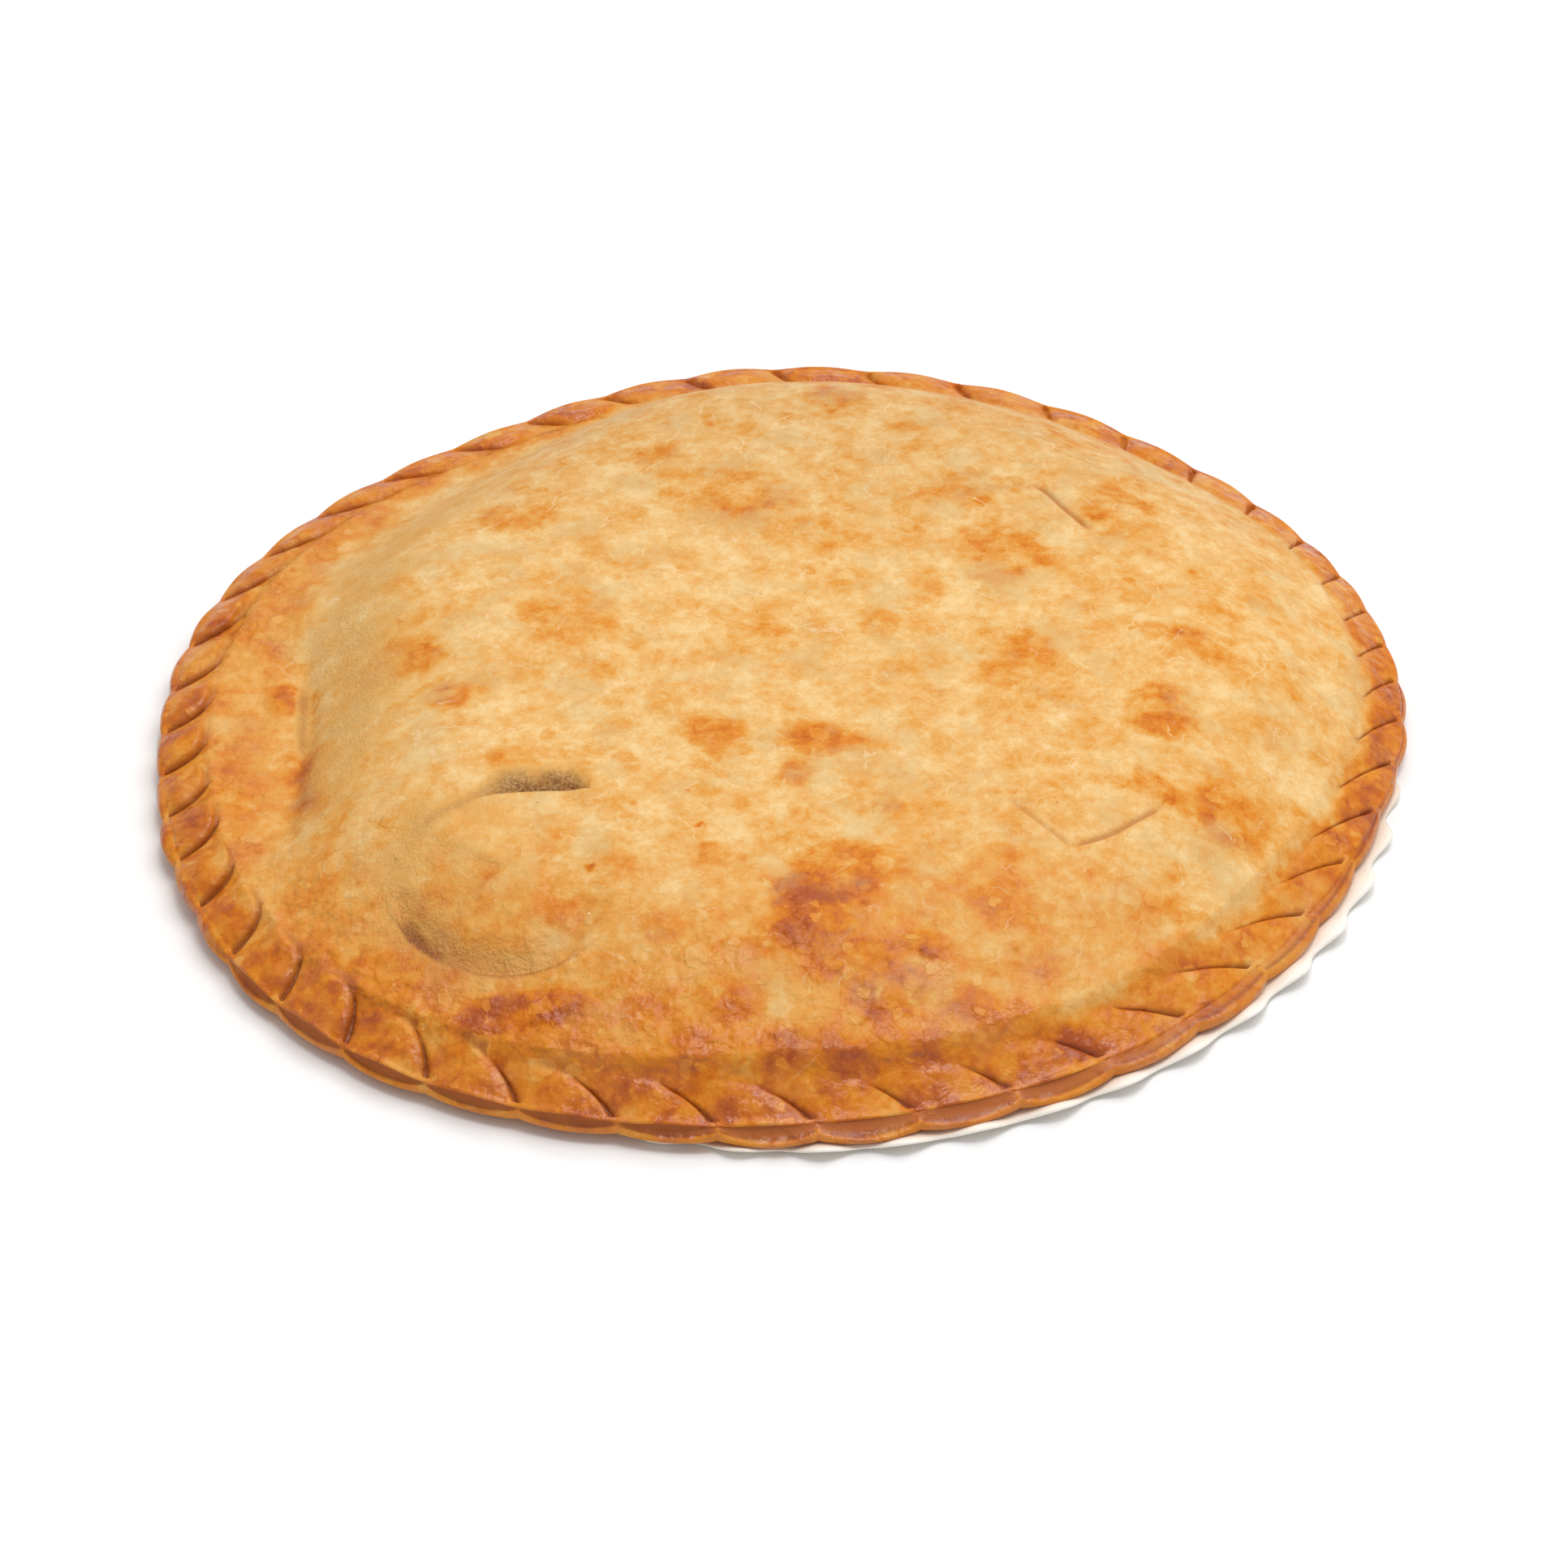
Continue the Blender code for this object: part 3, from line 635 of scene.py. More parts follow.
def build_rim(crust):
    """Crimped rim: its upper side, the two lips with the hollow between, and its foot."""
    columns = CRIMPS * CRIMP_COLUMNS
    number = np.arange(columns)
    crimp = number // CRIMP_COLUMNS
    even = (number % CRIMP_COLUMNS) / CRIMP_COLUMNS
    phase = even - COLUMN_GATHER * np.sin(2.0 * math.pi * even) / (2.0 * math.pi)
    outer_angle = crimp_angle(crimp + phase)
    even_angle = crimp_angle(crimp + even)
    lift = local_swell(RIM_LIFTS, outer_angle)
    tone = CRIMP_SHARE["tone"][crimp] * opening(phase)
    faint = 1.0 - 0.60 * turn_window(outer_angle, 88.0, 42.0, 30.0)

    def top_point(inward):
        lean = lean_run(inward, outer_angle) / EDGE_RADIUS
        relax = smooth((inward - RELAX_START) / (RELAX_REACH - RELAX_START))
        angle = outer_angle + (even_angle - outer_angle) * relax - lean
        x, y = ring_point(angle, edge_radius(angle) - inward)
        inset = np.full(columns, inward)
        relief, extra = crust_fields(x, y, angle, inset)
        crease = crease_mask(inward, phase, crimp, outer_angle)
        rim_z = rim_top(inward, phase, crimp, outer_angle) - CREASE_DEPTH * crease
        rim_z = rim_z + lift * unit(1.0 - inward / RIM_DEPTH)
        z = np.where(inward < CRIMP_REACH, rim_z, dome_height(angle, inward)) + relief
        fields = finish_fields(x, y, angle, inset, extra)
        start, length = tongue_end(bluntness(phase, 0.25), crimp, outer_angle)
        hooked = smooth((phase - 0.45) / 0.35)
        shown = 0.20 + 0.70 * turn_window(outer_angle, 202.0, 44.0, 25.0)
        inner_end = bell((inward - start - 0.85 * length) / 0.0009) * hooked * shown
        # painted shade: dark in the creases between folds and at the folds' inner ends
        fields["crevice"] = unit(crease * faint + 0.50 * inner_end)
        # painted shade on each fold's steep side, where it drops into the crease
        wall = smooth((phase - 0.84) / 0.12) * fall((phase - 0.985) / 0.015)
        wall = wall * smooth((inward - TOP_EDGE) / 0.002)
        wall = wall * fall((inward - start - length) / 0.001) * 0.70 * shown
        fields["slit"] = np.maximum(fields["slit"], wall)
        fields["tone"] = tone * fall((inward - 0.006) / 0.006)
        fields["rim"] = float(fall((inward - 0.0070) / 0.0040))
        return x, y, z, fields

    # upper side, from the inside out
    rows = []
    inner = RELAX_REACH - (RELAX_REACH - CRIMP_REACH) * np.arange(RELAX_ROWS) / RELAX_ROWS
    outer = CRIMP_REACH - (CRIMP_REACH - TOP_EDGE) * np.arange(TOP_ROWS) / (TOP_ROWS - 1.0)
    for inward in np.concatenate([inner, outer]):
        x, y, edge_z, fields = top_point(inward)
        rows.append(crust.add(x, y, edge_z, **fields))
    edge_glaze = fields["glaze"]

    # lips and hollow
    open_share = opening(phase)
    degrees = np.degrees(outer_angle)
    gap = angle_window(degrees, *LIPS_APART)
    plain = angle_window(degrees, *LIPS_TOGETHER)
    upper = 1.0 + 0.35 * CRIMP_SHARE["upper"][crimp]
    lower = 1.0 + 0.25 * CRIMP_SHARE["lower"][crimp]
    shift = 2.8 * angle_window(degrees, *LIP_SHIFT) * (0.80 + 0.20 * open_share)
    edge_height = rim_top(LIP_TOP_INSET, phase, crimp, outer_angle) / MM - LIP_TOP
    lean_edge = lean_run(TOP_EDGE, outer_angle) / EDGE_RADIUS
    line = [np.stack([np.full(columns, -TOP_EDGE), edge_z, lean_edge])]
    for index, (pinch, apart, together) in enumerate(RIM_SIDE):
        middle_out = together[0] + (apart[0] - together[0]) * gap
        middle_z = together[1] + (apart[1] - together[1]) * gap
        if index < UPPER_SIDE:
            middle_out = middle_out * upper
            middle_z = middle_z + edge_height
        elif index >= LOWER_SIDE:
            middle_out = middle_out * lower
        out = pinch[0] * (1.0 - open_share) + middle_out * open_share
        plain_pinch, plain_middle = PLAIN_SIDE[index]
        plain_out = plain_pinch[0] * (1.0 - open_share) + plain_middle[0] * upper * open_share
        out = out + (plain_out - out) * plain
        out = out + shift * float(smooth((index - 4.0) / 6.0))
        out = out + CHIP_SIZE * bell((degrees - CHIP_ANGLE) / 1.1) * (index < 9)
        z = pinch[1] * (1.0 - open_share) + middle_z * open_share
        plain_z = plain_middle[1] + edge_height * max(0.0, 1.0 - index / 8.0)
        plain_z = plain_pinch[1] * (1.0 - open_share) + plain_z * open_share
        z = (z + (plain_z - z) * plain) * MM + lift
        line.append(np.stack([out * MM, z, lean_edge * max(0.0, 1.0 - index / 3.0)]))
    side = catmull(line, SIDE_STEPS)[1:]
    for step, (out, z, lean) in enumerate(side):
        angle = outer_angle - lean
        x, y = ring_point(angle, edge_radius(angle) + out)
        place = (step + 1) / SIDE_STEPS - 1.0
        # Painted shade in the hollow between the lips, on dough that is darker there of itself, and a
        # painted dark line where the hollow meets the lower lip
        in_lens = float(smooth((place - 3.3) / 0.7) * fall((place - 7.2) / 0.8))
        in_line = bell((place - 7.9) / 0.6)
        rows.append(crust.add(
            x, y, z, tone=tone, rim=1.0,
            glaze=edge_glaze + (1.0 - edge_glaze) * float(smooth(place / 4.0)),
            lens=in_lens * smooth(open_share / 0.35) * (0.35 + 0.65 * gap) * (1.0 - plain),
            crevice=in_line * smooth(open_share / 0.3) * 0.8 * (1.0 - plain),
            lip=float(smooth((place - 8.3) / 1.0)) * (1.0 - plain)))

    # foot under the rim
    last_z = side[-1][1]
    for reach in FOOT_REACHES:
        share = (reach - FOOT_START) / (FOOT_REACHES[-1] - FOOT_START)
        z = last_z + (underside_height(reach) - last_z) * smooth(share)
        x, y = ring_point(outer_angle, edge_radius(outer_angle) - reach)
        rows.append(crust.add(x, y, z, glaze=0.3, lip=1.0))
    for upper_row, lower_row in zip(rows, rows[1:]):
        crust.strip(upper_row, lower_row)
    return rows[0], rows[-1]


def hex_points(spacing, inside):
    """Points of an even triangular grid for which a rule holds."""
    reach = int(GRID_REACH / spacing)
    row, column = np.mgrid[-reach:reach + 1, -reach:reach + 1]
    x = ((column + 0.5 * (row % 2)) * spacing).ravel()
    y = (row * spacing * math.sqrt(0.75)).ravel()
    kept = inside(x, y)
    return x[kept], y[kept]


def polar(x, y):
    """Direction and distance in from the edge of points."""
    x = x - RING_CENTRE[0]
    y = y - RING_CENTRE[1]
    angle = np.arctan2(y, x)
    return angle, edge_radius(angle) - np.hypot(x, y)


def fill(crust, ring, inner_x, inner_y, lines=()):
    """Fill a ring of the mesh, through inner points and along given lines.

    Gives the places, the vertex number of each or -1 for a new one, and the triangles.
    """
    places = np.vstack(crust.places)
    points = list(zip(places[ring, 0], places[ring, 1])) + list(zip(inner_x, inner_y))
    size = len(ring)
    edges = [(index, (index + 1) % size) for index in range(size)]
    for line in lines:
        first = len(points)
        points.extend(line)
        edges.extend((first + index, first + index + 1) for index in range(len(line) - 1))
    made = delaunay_2d_cdt([Vector(point) for point in points], edges, [], 1, 1e-7)
    flat = np.array([tuple(place) for place in made[0]])
    faces = np.array([tuple(face) for face in made[2] if len(face) == 3])
    numbers = np.full(len(flat), -1)
    for index, sources in enumerate(made[3]):
        for item in sources:
            if item < size:
                numbers[index] = ring[item]
    return flat, numbers, faces


def near_lines(x, y):
    """Distance to the nearest line along which the mesh is fine."""
    best = np.full(np.shape(x), 1e9)
    for points, _, _ in SLITS[:FINE_SLITS]:
        best = np.minimum(best, line_distance(x, y, points)[0])
    line, along = lip_line(x)
    on_lip = (along > -0.05) & (along < 1.05)
    best = np.minimum(best, np.where(on_lip, np.abs(y - line), 1e9))
    _, share, direction = patch_place(x, y)
    crisp = angle_window(direction, 255.0, 70.0, 1.0) > 0.5
    rim = np.abs(share - 1.0) * PATCH_HALF_WIDTH
    return np.minimum(best, np.where(crisp, rim, 1e9))


def build_top(crust, ring):
    """Top crust inside the rim."""
    def grid(spacing, fine):
        return hex_points(spacing, lambda x, y: (
            polar(x, y)[1] > RELAX_REACH + 0.55 * TOP_SPACING)
            & ((near_lines(x, y) <= FINE_REACH) == fine))

    coarse_x, coarse_y = grid(TOP_SPACING, False)
    fine_x, fine_y = grid(FINE_SPACING, True)
    along = np.linspace(0.0, 1.0, LIP_POINTS)
    lip_x = LIP_START[0] + (LIP_END[0] - LIP_START[0]) * along
    lip_y = lip_line(lip_x)[0]
    away = np.abs(fine_y - lip_line(fine_x)[0])
    on_lip = (fine_x > LIP_START[0]) & (fine_x < LIP_END[0])
    clear = ~(on_lip & (away < 0.8 * LIP_STEP + 0.0002))
    inner_x = np.concatenate([coarse_x, fine_x[clear]])
    inner_y = np.concatenate([coarse_y, fine_y[clear]])
    lines = [list(zip(lip_x, lip_y + side * LIP_STEP)) for side in (0.5, -0.5)]
    flat, numbers, faces = fill(crust, ring, inner_x, inner_y, lines)
    new = numbers < 0
    x = flat[new, 0]
    y = flat[new, 1]
    angle, inward = polar(x, y)
    relief, extra = crust_fields(x, y, angle, inward)
    z = dome_height(angle, inward) + relief
    numbers[new] = crust.add(x, y, z, **finish_fields(x, y, angle, inward, extra))
    return numbers[faces]


def build_under(crust, ring):
    """Flat underside."""
    inner_x, inner_y = hex_points(UNDER_SPACING, lambda x, y: polar(x, y)[1] > UNDER_INSET)
    flat, numbers, faces = fill(crust, ring, inner_x, inner_y)
    new = numbers < 0
    numbers[new] = crust.add(flat[new, 0], flat[new, 1], np.full(new.sum(), BOTTOM_Z), lip=1.0)
    return numbers[faces][:, ::-1]


def mesh_from(name, places, quads, triangles, fields):
    """A smooth mesh with number fields on its vertices."""
    mesh = bpy.data.meshes.new(name)
    mesh.from_pydata(places.tolist(), [], quads.tolist() + triangles.tolist())
    for field, values in fields.items():
        layer = mesh.attributes.new(field, "FLOAT", "POINT")
        layer.data.foreach_set("value", values.astype(np.float32))
    mesh.shade_smooth()
    mesh.update()
    return mesh


def placed(name, data):
    """A new object in the scene."""
    made = bpy.data.objects.new(name, data)
    bpy.context.collection.objects.link(made)
    return made


def make_crust():
    """The pie itself."""
    crust = Crust()
    top_ring, under_ring = build_rim(crust)
    triangles = np.vstack([build_top(crust, top_ring), build_under(crust, under_ring)])
    fields = {name: np.concatenate(parts) for name, parts in crust.fields.items()}
    mesh = mesh_from("crust", np.vstack(crust.places), np.vstack(crust.faces), triangles, fields)
    return placed("crust", mesh)


# Paper case
PAPER_THICKNESS = 0.0004
PAPER_LIFT = 0.0001
PAPER_CENTRE = (0.0010, -0.0015)
PAPER_RADIUS = 0.1380
PAPER_SWELLS = ((-0.0035, 251.0, 14.0), (0.0022, 45.0, 45.0))
PAPER_FOLD_INSET = 0.0105
PAPER_FREE_SLOPE = 0.30
PAPER_SHADE_REACH = 0.006
FLUTES = 50
FLUTE_SWING = 0.0012
FLUTE_DROP = 0.0004
FLUTE_FREE_DROP = 0.0011
FREE_REACH = 0.005
PAPER_COLUMNS = 800
PAPER_ROWS = 12


def paper_surface(share):
    """A ring of the paper's underside: share 0 at the fold round its base, 1 at its edge."""
    turn = 2.0 * math.pi * np.arange(PAPER_COLUMNS) / PAPER_COLUMNS
    unit_x = np.cos(turn)
    unit_y = np.sin(turn)
    fold = edge_radius(turn) - PAPER_FOLD_INSET
    uneven = 0.35 * gradient_noise(unit_x, unit_y, 0.33, 21)
    wave = np.cos(FLUTES * turn + uneven)
    swing = FLUTE_SWING * (1.0 + 0.4 * gradient_noise(unit_x, unit_y, 0.21, 22))
    edge = PAPER_RADIUS + local_swell(PAPER_SWELLS, turn) + swing * wave
    edge = edge + 0.0005 * gradient_noise(unit_x, unit_y, 0.5, 23)
    x = (1.0 - share) * fold * unit_x + share * (PAPER_CENTRE[0] + edge * unit_x)
    y = (1.0 - share) * fold * unit_y + share * (PAPER_CENTRE[1] + edge * unit_y)
    beyond = np.hypot(x, y) - edge_radius(np.arctan2(y, x))
    free = np.maximum(beyond, 0.0)
    z = underside_height(-beyond) - BOTTOM_Z + PAPER_FREE_SLOPE * free
    drop = FLUTE_DROP + FLUTE_FREE_DROP * unit(free / FREE_REACH)
    z = np.maximum(0.0, z - drop * share * (1.0 - wave) * 0.5) + PAPER_LIFT
    shade = unit(1.0 - beyond / PAPER_SHADE_REACH)
    return x + RING_CENTRE[0], y + RING_CENTRE[1], z, shade


def make_paper():
    """The paper case: a flat base and a fluted edge, as one thin closed sheet."""
    places = []
    shades = []
    shares = np.linspace(0.0, 1.0, PAPER_ROWS)
    for height, order in ((PAPER_THICKNESS, shares), (0.0, shares[::-1])):
        for share in order:
            x, y, z, shade = paper_surface(share)
            places.append(np.column_stack([x, y, z + height]))
            shades.append(shade)
    count = len(places) * PAPER_COLUMNS
    last = count - PAPER_COLUMNS
    column = np.arange(PAPER_COLUMNS)
    after = (column + 1) % PAPER_COLUMNS
    quads = []
    for here in range(0, last, PAPER_COLUMNS):
        there = here + PAPER_COLUMNS
        quads.append(np.column_stack([here + column, there + column, there + after, here + after]))
    for height in (PAPER_THICKNESS, 0.0):
        places.append([[*RING_CENTRE, PAPER_LIFT + height]])
    shades.append([0.0, 0.0])
    middle = np.full(PAPER_COLUMNS, count)
    fans = [np.column_stack([column, after, middle]),
            np.column_stack([last + after, last + column, middle + 1])]
    return placed("paper", mesh_from("paper", np.vstack(places), np.vstack(quads), np.vstack(fans),
                                     {"shade": np.concatenate(shades)}))


class Value:
    """A number in a material: a sum, difference or product of such numbers adds a node."""

    def __init__(self, finish, node, output=0):
        self.finish = finish
        self.socket = node.outputs[output]

    def __add__(self, other):
        return self.finish.math("ADD", self, other)

    def __sub__(self, other):
        return self.finish.math("SUBTRACT", self, other)

    def __rsub__(self, other):
        return self.finish.math("SUBTRACT", other, self)

    def __mul__(self, other):
        return self.finish.math("MULTIPLY", self, other)


class Finish:
    """A material and short ways to add nodes to it."""

    def __init__(self, name):
        self.material = bpy.data.materials.new(name)
        self.material.use_nodes = True
        self.tree = self.material.node_tree

    def dress(self, inputs):
        """Give the shader its inputs, and hand over the material."""
        shader = self.tree.nodes["Principled BSDF"]
        for name, value in inputs.items():
            self.feed(shader.inputs[name], value)
        return self.material

    def node(self, kind, inputs, **settings):
        made = self.tree.nodes.new(kind)
        for name, value in settings.items():
            setattr(made, name, value)
        for name, value in inputs.items():
            self.feed(made.inputs[name], value)
        return made

    def feed(self, socket, value):
        if isinstance(value, Value):
            value = value.socket
        if isinstance(value, bpy.types.NodeSocket):
            self.tree.links.new(value, socket)
        elif isinstance(value, tuple):
            socket.default_value = (*value, 1.0)[:len(socket.default_value)]
        else:
            socket.default_value = value

    def math(self, operation, first, second, clamp=False):
        return Value(self, self.node("ShaderNodeMath", {0: first, 1: second},
                                     operation=operation, use_clamp=clamp))

    def vector(self, operation, inputs):
        return self.node("ShaderNodeVectorMath", inputs, operation=operation).outputs[0]

    def place(self):
        """Place on the piece, in millimetres."""
        coords = self.node("ShaderNodeTexCoord", {}).outputs["Object"]
        return self.vector("SCALE", {0: coords, "Scale": 1.0 / MM})

    def field(self, name):
        return Value(self, self.node("ShaderNodeAttribute", {}, attribute_name=name), "Fac")

    def noise(self, place, size, detail=3.0, rough=0.5, offset=None):
        if offset:
            place = self.vector("ADD", {0: place, 1: offset})
        return Value(self, self.node("ShaderNodeTexNoise", {
            "Vector": place, "Scale": 1.0 / size, "Detail": detail, "Roughness": rough}), "Fac")

    def ramp(self, value, low, high, start=0.0, end=1.0):
        return Value(self, self.node("ShaderNodeMapRange", {
            "Value": value, "From Min": low, "From Max": high, "To Min": start, "To Max": end},
            interpolation_type="SMOOTHSTEP"))

    def mix(self, share, first, second, blend="MIX"):
        return self.node("ShaderNodeMix", {0: share, 6: first, 7: second},
                         data_type="RGBA", blend_type=blend).outputs[2]

    def colours(self, value, stops):
        made = self.node("ShaderNodeValToRGB", {"Fac": value})
        elements = made.color_ramp.elements
        while len(elements) > 1:
            elements.remove(elements[0])
        elements[0].position = stops[0][0]
        for place, *_ in stops[1:]:
            elements.new(place)
        for element, (_, *colour) in zip(elements, stops):
            element.color = (*colour, 1.0)
        return made.outputs["Color"]

    def bump(self, height, strength, distance):
        return self.node("ShaderNodeBump", {
            "Height": height, "Strength": strength, "Distance": distance}).outputs[0]


def crust_finish():
    """Baked dough: pale and mottled in the middle, orange and glossy towards the rim, with painted
    shade in creases, slits and hollows and towards the back, and small painted glints.
    """
    f = Finish("baked_crust")
    place = f.place()
    brown, evenly, crevice, lens, slit, olive, grain, lip, tone, rim = map(f.field, FIELD_NAMES)
    warp = f.node("ShaderNodeTexNoise", {"Vector": place, "Scale": 0.24, "Detail": 4.0})
    pull = f.vector("SUBTRACT", {0: warp.outputs["Color"], 1: (0.5, 0.5, 0.5)})
    pulled = f.vector("MULTIPLY_ADD", {0: pull, 1: (4.4, 4.4, 4.4), 2: place})
    patchy = f.ramp(f.noise(place, 17.0, 3.0, 0.55, (13.0, 2.0, 8.0)), 0.36, 0.60, 0.72, 1.14)
    glaze = f.math("MULTIPLY", evenly, patchy, clamp=True)
    plain = 1.0 - glaze
    broad = f.noise(place, 32.0, 3.0, 0.55)
    medium = f.noise(place, 9.0, 5.0, 0.62)
    small = f.noise(place, 2.6, 4.0, 0.65, (31.0, 7.0, 3.0))
    fine = f.noise(place, 0.7, 3.0, 0.6, (5.0, 17.0, 9.0))
    lumps = f.noise(place, 3.4, 1.5, 0.5, (3.0, 41.0, 6.0))
    pits = f.noise(pulled, 1.7, 1.0, 0.5, (7.0, 4.0, 26.0))

    # round marks of several sizes: soft toasted ones and small pale blisters
    def cells(size, shift, vector):
        made = f.node("ShaderNodeTexVoronoi", {
            "Vector": f.vector("ADD", {0: vector, 1: shift}), "Scale": 1.0 / size, "Randomness": 0.9})
        chance = f.node("ShaderNodeSeparateColor", {"Color": made.outputs["Color"]})
        return Value(f, made, "Distance"), Value(f, chance, 0), Value(f, chance, 1)

    def marks(size, shift, share, soft):
        distance, chance, second = cells(size, shift, pulled)
        radius = f.ramp(chance, 1.0 - share, 1.0, -0.05, 0.48)
        return f.ramp(radius - distance, 0.0, soft) * f.ramp(second, 0.0, 1.0, 0.45, 1.0)

    toasted = marks(17.0, (4.0, 6.0, 19.0), 0.7, 0.26) * 0.17
    toasted = toasted + marks(9.0, (14.0, 3.0, 9.0), 0.7, 0.16) * 0.20
    toasted = toasted + marks(4.8, (2.0, 17.0, 5.0), 0.6, 0.14) * 0.20
    toasted = toasted * f.ramp(f.noise(place, 26.0, 2.0, 0.5, (8.0, 2.0, 5.0)), 0.38, 0.62, 0.25, 1.0)
    blisters = f.math("MAXIMUM", marks(6.5, (3.0, 11.0, 0.0), 0.55, 0.06),
                      marks(3.4, (9.0, 1.0, 7.0), 0.55, 0.08))

    # how far each place is baked, from 0 pale to 1 dark
    bake = broad * 0.36 + 0.03 + (medium - 0.5) * 1.05
    bake = bake + ((small - 0.5) * 0.62 + (fine - 0.5) * 0.34) * (evenly * -0.50 + 1.0)
    bake = bake + toasted * (glaze * -0.4 + 1.0) + glaze * 0.48
    streaks = f.noise(pulled, 5.0, 2.0, 0.5, (9.0, 31.0, 12.0))
    bake = bake + rim * f.ramp(streaks, 0.38, 0.62, 0.0, 0.17)
    ragged = brown * f.ramp(medium, 0.32, 0.62, 0.60, 1.15)
    bake = bake + ragged * (glaze * -0.55 + 1.0)
    bake = bake * (1.0 - blisters * (glaze * -0.05 + 0.32))
    colour = f.colours(f.math("ADD", bake, tone * 0.07, clamp=True), (
        (0.00, 0.81, 0.555, 0.250),
        (0.16, 0.76, 0.450, 0.158),
        (0.38, 0.71, 0.325, 0.062),
        (0.58, 0.67, 0.225, 0.016),
        (0.76, 0.58, 0.150, 0.006),
        (1.00, 0.38, 0.065, 0.004),
    ))
    greyer = f.ramp(f.noise(pulled, 13.0, 3.0, 0.6, (21.0, 9.0, 2.0)), 0.48, 0.68, 0.0, 0.40)
    colour = f.mix(greyer * plain, colour, (0.62, 0.45, 0.21))
    # Painted shade: where it is not glazed, the crust is made darker towards the back, where less light
    # falls on it
    depth = Value(f, f.node("ShaderNodeSeparateXYZ", {"Vector": place}), "Y")
    behind = f.ramp(depth, 10.0, 115.0, 0.0, 0.85)
    colour = f.mix(behind * plain, colour, (0.86, 0.84, 0.86), "MULTIPLY")

    # thin whitish cracks, dark specks and small painted glints
    web = f.node("ShaderNodeTexVoronoi", {"Vector": pulled, "Scale": 1.0 / 15.0, "Randomness": 1.0},
                 feature="DISTANCE_TO_EDGE").outputs["Distance"]
    broken = f.ramp(f.noise(place, 7.0, 2.0, 0.5, (6.0, 6.0, 14.0)), 0.52, 0.60)
    cracks = f.ramp(web, 0.004, 0.014, 1.0, 0.0) * (broken * plain)
    colour = f.mix(cracks * 0.40, colour, (0.86, 0.66, 0.40))
    distance, chance, second = cells(3.6, (1.0, 5.0, 2.0), place)
    dots = f.ramp(chance * 0.075 - distance, -0.01, 0.01) * f.ramp(second, 0.3, 0.8, 0.0, 0.6)
    colour = f.mix(dots, colour, (0.32, 0.13, 0.03))
    distance, chance, second = cells(5.0, (14.0, 3.0, 8.0), place)
    painted_glints = f.ramp(chance * 0.042 - distance, -0.006, 0.006) * f.ramp(second, 0.3, 0.9, 0.0, 0.9)
    colour = f.mix(painted_glints, colour, (1.0, 0.90, 0.72))

    # Colours of less-baked greenish-grey dough and of painted shade, darkest at the top of the ramp
    shaded = f.colours(olive, (
        (0.00, 0.76, 0.430, 0.115),
        (0.20, 0.66, 0.345, 0.090),
        (0.45, 0.47, 0.235, 0.064),
        (0.75, 0.27, 0.115, 0.036),
        (1.00, 0.14, 0.056, 0.020),
    ))
    grains = f.ramp(fine, 0.35, 0.65, 0.55, 1.0)
    colour = f.mix(f.ramp(olive, 0.0, 0.16) * (grains * 0.92), colour, shaded)
    # The lower lip's own orange, then painted shade: in the creases, in the slits and on the folds'
    # steep walls, and in the hollow between the lips, where the dough is also darker
    for share, tint in (
            (lip * 0.35, (0.70, 0.27, 0.045)),
            (crevice * 0.85, (0.22, 0.045, 0.014)),
            (slit * 0.72, (0.38, 0.100, 0.015)),
            (lens * 0.92, (0.42, 0.125, 0.040))):
        colour = f.mix(share, colour, tint)

    shine = f.math("MAXIMUM", glaze, brown * 0.5, clamp=True)
    shine = shine * (1.0 - lens) * f.ramp(medium, 0.38, 0.60, 0.10, 1.0)
    uneven = glaze * (rim * -0.55 + 1.0)
    height = small * (rim * -0.25 + 0.50) + fine * (grain * 0.9 + uneven * 0.20 + 0.16)
    height = height + blisters * 0.20 + lumps * uneven * 3.8 + pits * uneven * 0.9
    bump = f.bump(height, 0.8, 0.0006)
    return f.dress({
        "Base Color": colour,
        "Specular IOR Level": 0.10,
        "Roughness": f.math("ADD", (small - 0.5) * 0.25 + 0.55, lens * 0.25, clamp=True),
        "Coat Weight": shine * 0.72 + 0.02,
        "Coat Roughness": 0.11,
        "Normal": bump,
        "Coat Normal": bump,
    })


def paper_finish():
    """Creamy greaseproof paper."""
    f = Finish("greaseproof_paper")
    place = f.place()
    mottled = f.ramp(f.noise(place, 5.0, 3.0), 0.3, 0.7, 0.0, 0.5)
    colour = f.mix(mottled, (0.97, 0.91, 0.83), (0.94, 0.87, 0.77))
    colour = f.mix(f.field("shade") * 0.55, colour, (0.72, 0.52, 0.30))
    bump = f.bump(f.noise(place, 0.5, 2.0), 0.3, 0.0003)
    return f.dress({"Base Color": colour, "Roughness": 0.6, "Normal": bump})


# Stage, lights and camera
FLOOR_HALF = 6.0
FLOOR_ALBEDO = 0.90
WORLD_STRENGTH = 0.55
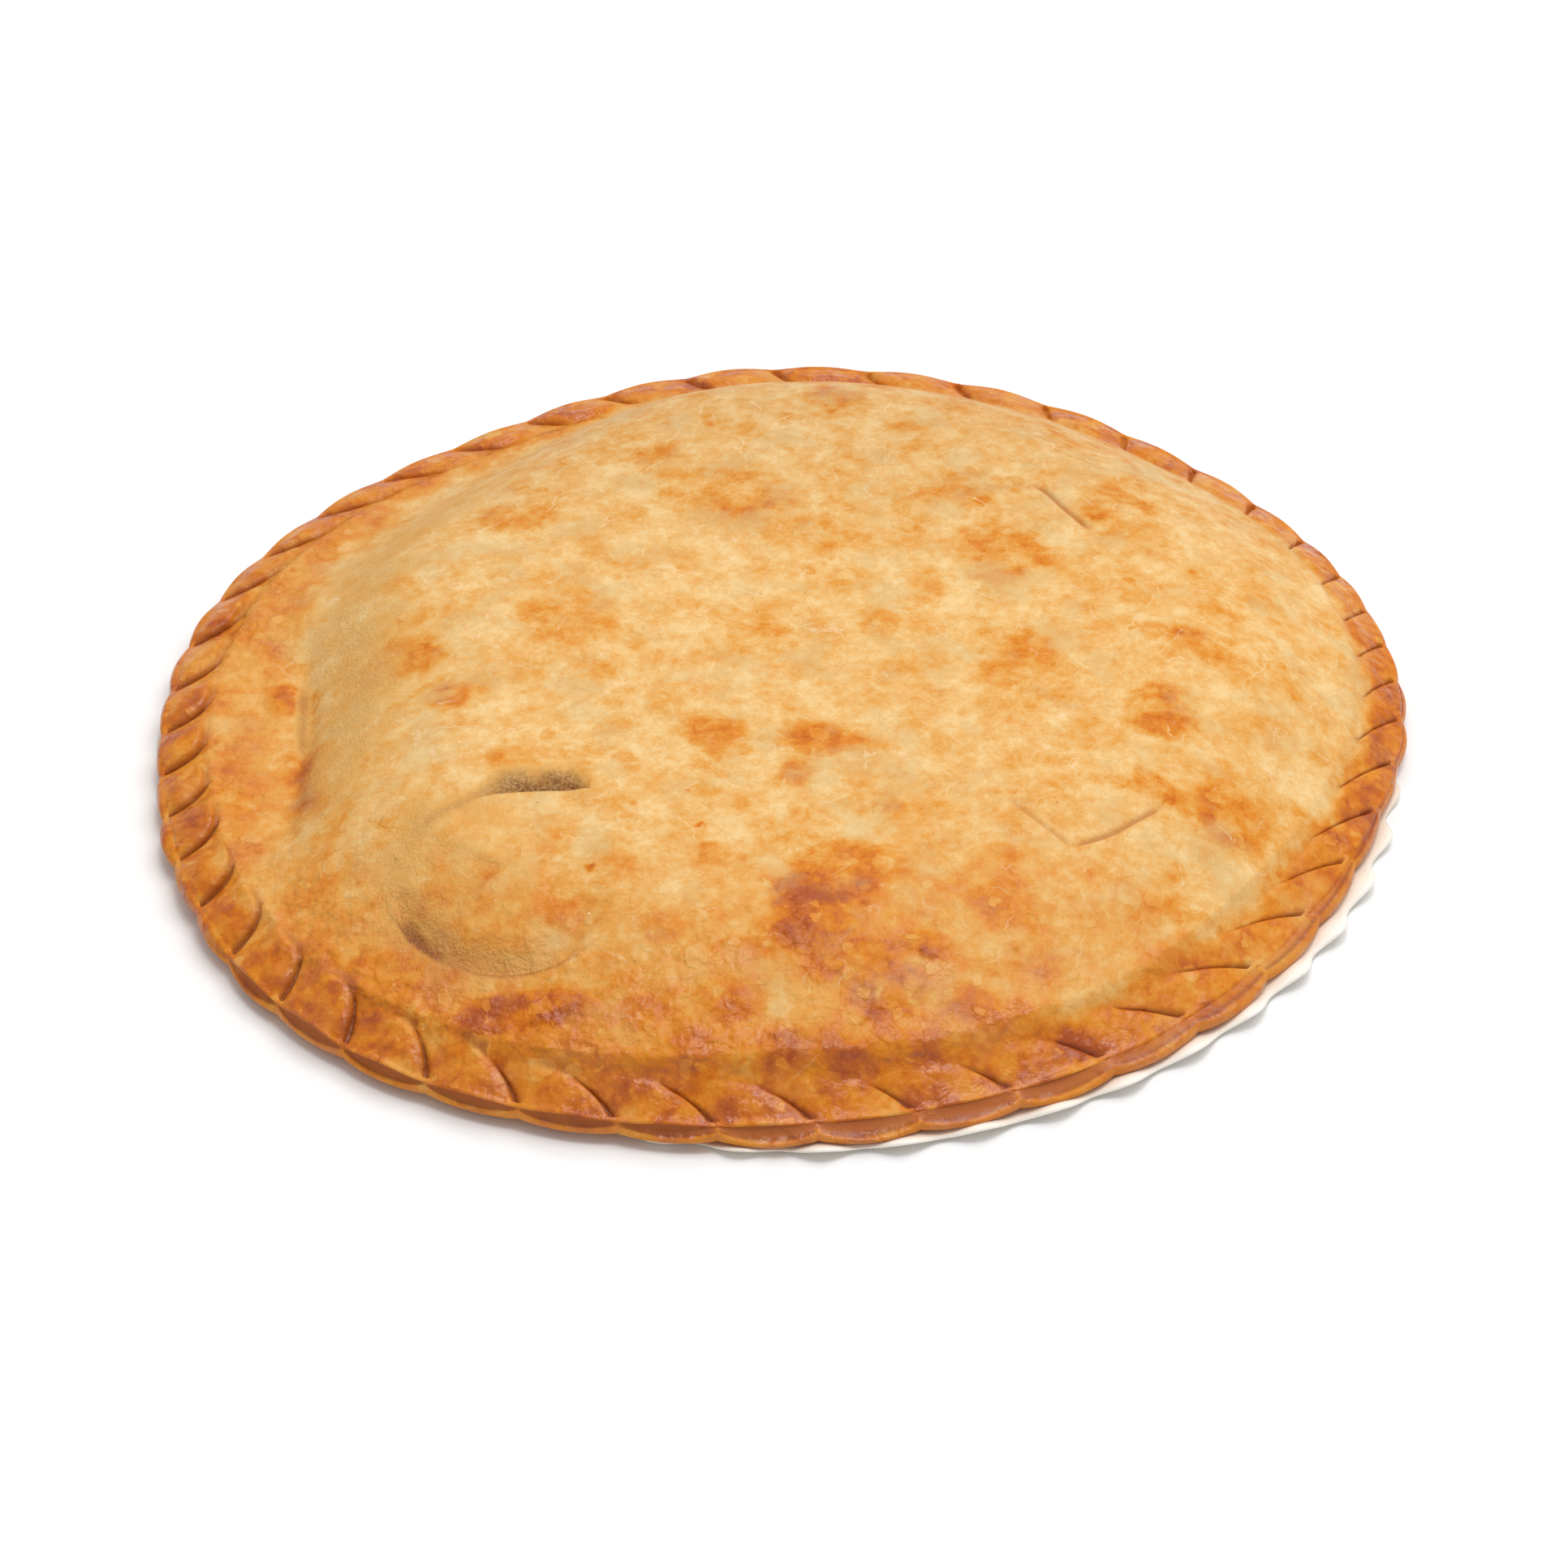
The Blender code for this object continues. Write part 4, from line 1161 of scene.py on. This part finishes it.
# Name, place, target, size and power of each
LIGHTS = (
    ("softbox", (0.75, 0.35, 1.9), (0.0, 0.0, 0.0), (1.6, 1.3), 20.8),
    ("overhead", (0.10, -0.12, 1.9), (0.0, 0.0, 0.0), (0.55, 0.40), 7.0),
    ("back_strip", (-0.15, 1.10, 1.25), (0.0, -0.05, 0.0), (0.60, 0.22), 2.8),
)
SENSOR_WIDTH = 36.0
ELEVATION = math.radians(38.0)
CAMERA_TARGET = (0.0009, -0.0133, 0.0)
CAMERA_DISTANCE = 1.27
FIELD_OF_VIEW = math.radians(15.7)


def make_stage():
    """White floor."""
    mesh = bpy.data.meshes.new("floor")
    corners = [(-1, -1), (1, -1), (1, 1), (-1, 1)]
    mesh.from_pydata([(x * FLOOR_HALF, y * FLOOR_HALF, 0.0) for x, y in corners], [], [(0, 1, 2, 3)])
    mesh.materials.append(Finish("white_floor").dress({
        "Base Color": (FLOOR_ALBEDO,) * 3,
        "Roughness": 0.9,
        "Specular IOR Level": 0.0,
    }))
    floor = placed("floor", mesh)


def make_lights():
    """Bright surroundings and three soft lights."""
    world = bpy.data.worlds.new("studio")
    world.use_nodes = True
    backdrop = world.node_tree.nodes["Background"]
    backdrop.inputs["Color"].default_value = (1.0, 1.0, 1.0, 1.0)
    backdrop.inputs["Strength"].default_value = WORLD_STRENGTH
    bpy.context.scene.world = world
    for name, place, target, size, power in LIGHTS:
        data = bpy.data.lights.new(name, "AREA")
        data.shape = "RECTANGLE"
        data.size, data.size_y = size
        data.energy = power
        light = placed(name, data)
        light.location = place
        light.rotation_euler = (Vector(target) - Vector(place)).to_track_quat("-Z", "Y").to_euler()


def make_camera():
    """Camera in front of the pie, looking down at it."""
    data = bpy.data.cameras.new("camera")
    data.sensor_width = SENSOR_WIDTH
    data.lens = SENSOR_WIDTH / (2.0 * math.tan(FIELD_OF_VIEW / 2.0))
    data.clip_start = 0.05
    camera = placed("camera", data)
    away = Vector((0.0, -math.cos(ELEVATION), math.sin(ELEVATION)))
    camera.location = Vector(CAMERA_TARGET) + CAMERA_DISTANCE * away
    camera.rotation_euler = (math.pi / 2.0 - ELEVATION, 0.0, 0.0)
    bpy.context.scene.camera = camera


def main():
    """The whole scene."""
    make_camera()
    make_lights()
    make_stage()
    bpy.context.scene.view_settings.view_transform = "Standard"
    bpy.context.scene.view_settings.look = "None"

    crust = make_crust()
    crust.data.materials.append(crust_finish())
    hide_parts("empanada")
    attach(crust, "root")

    paper = make_paper()
    paper.data.materials.append(paper_finish())
    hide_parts("paper_case")
    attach(paper, "root")


main()
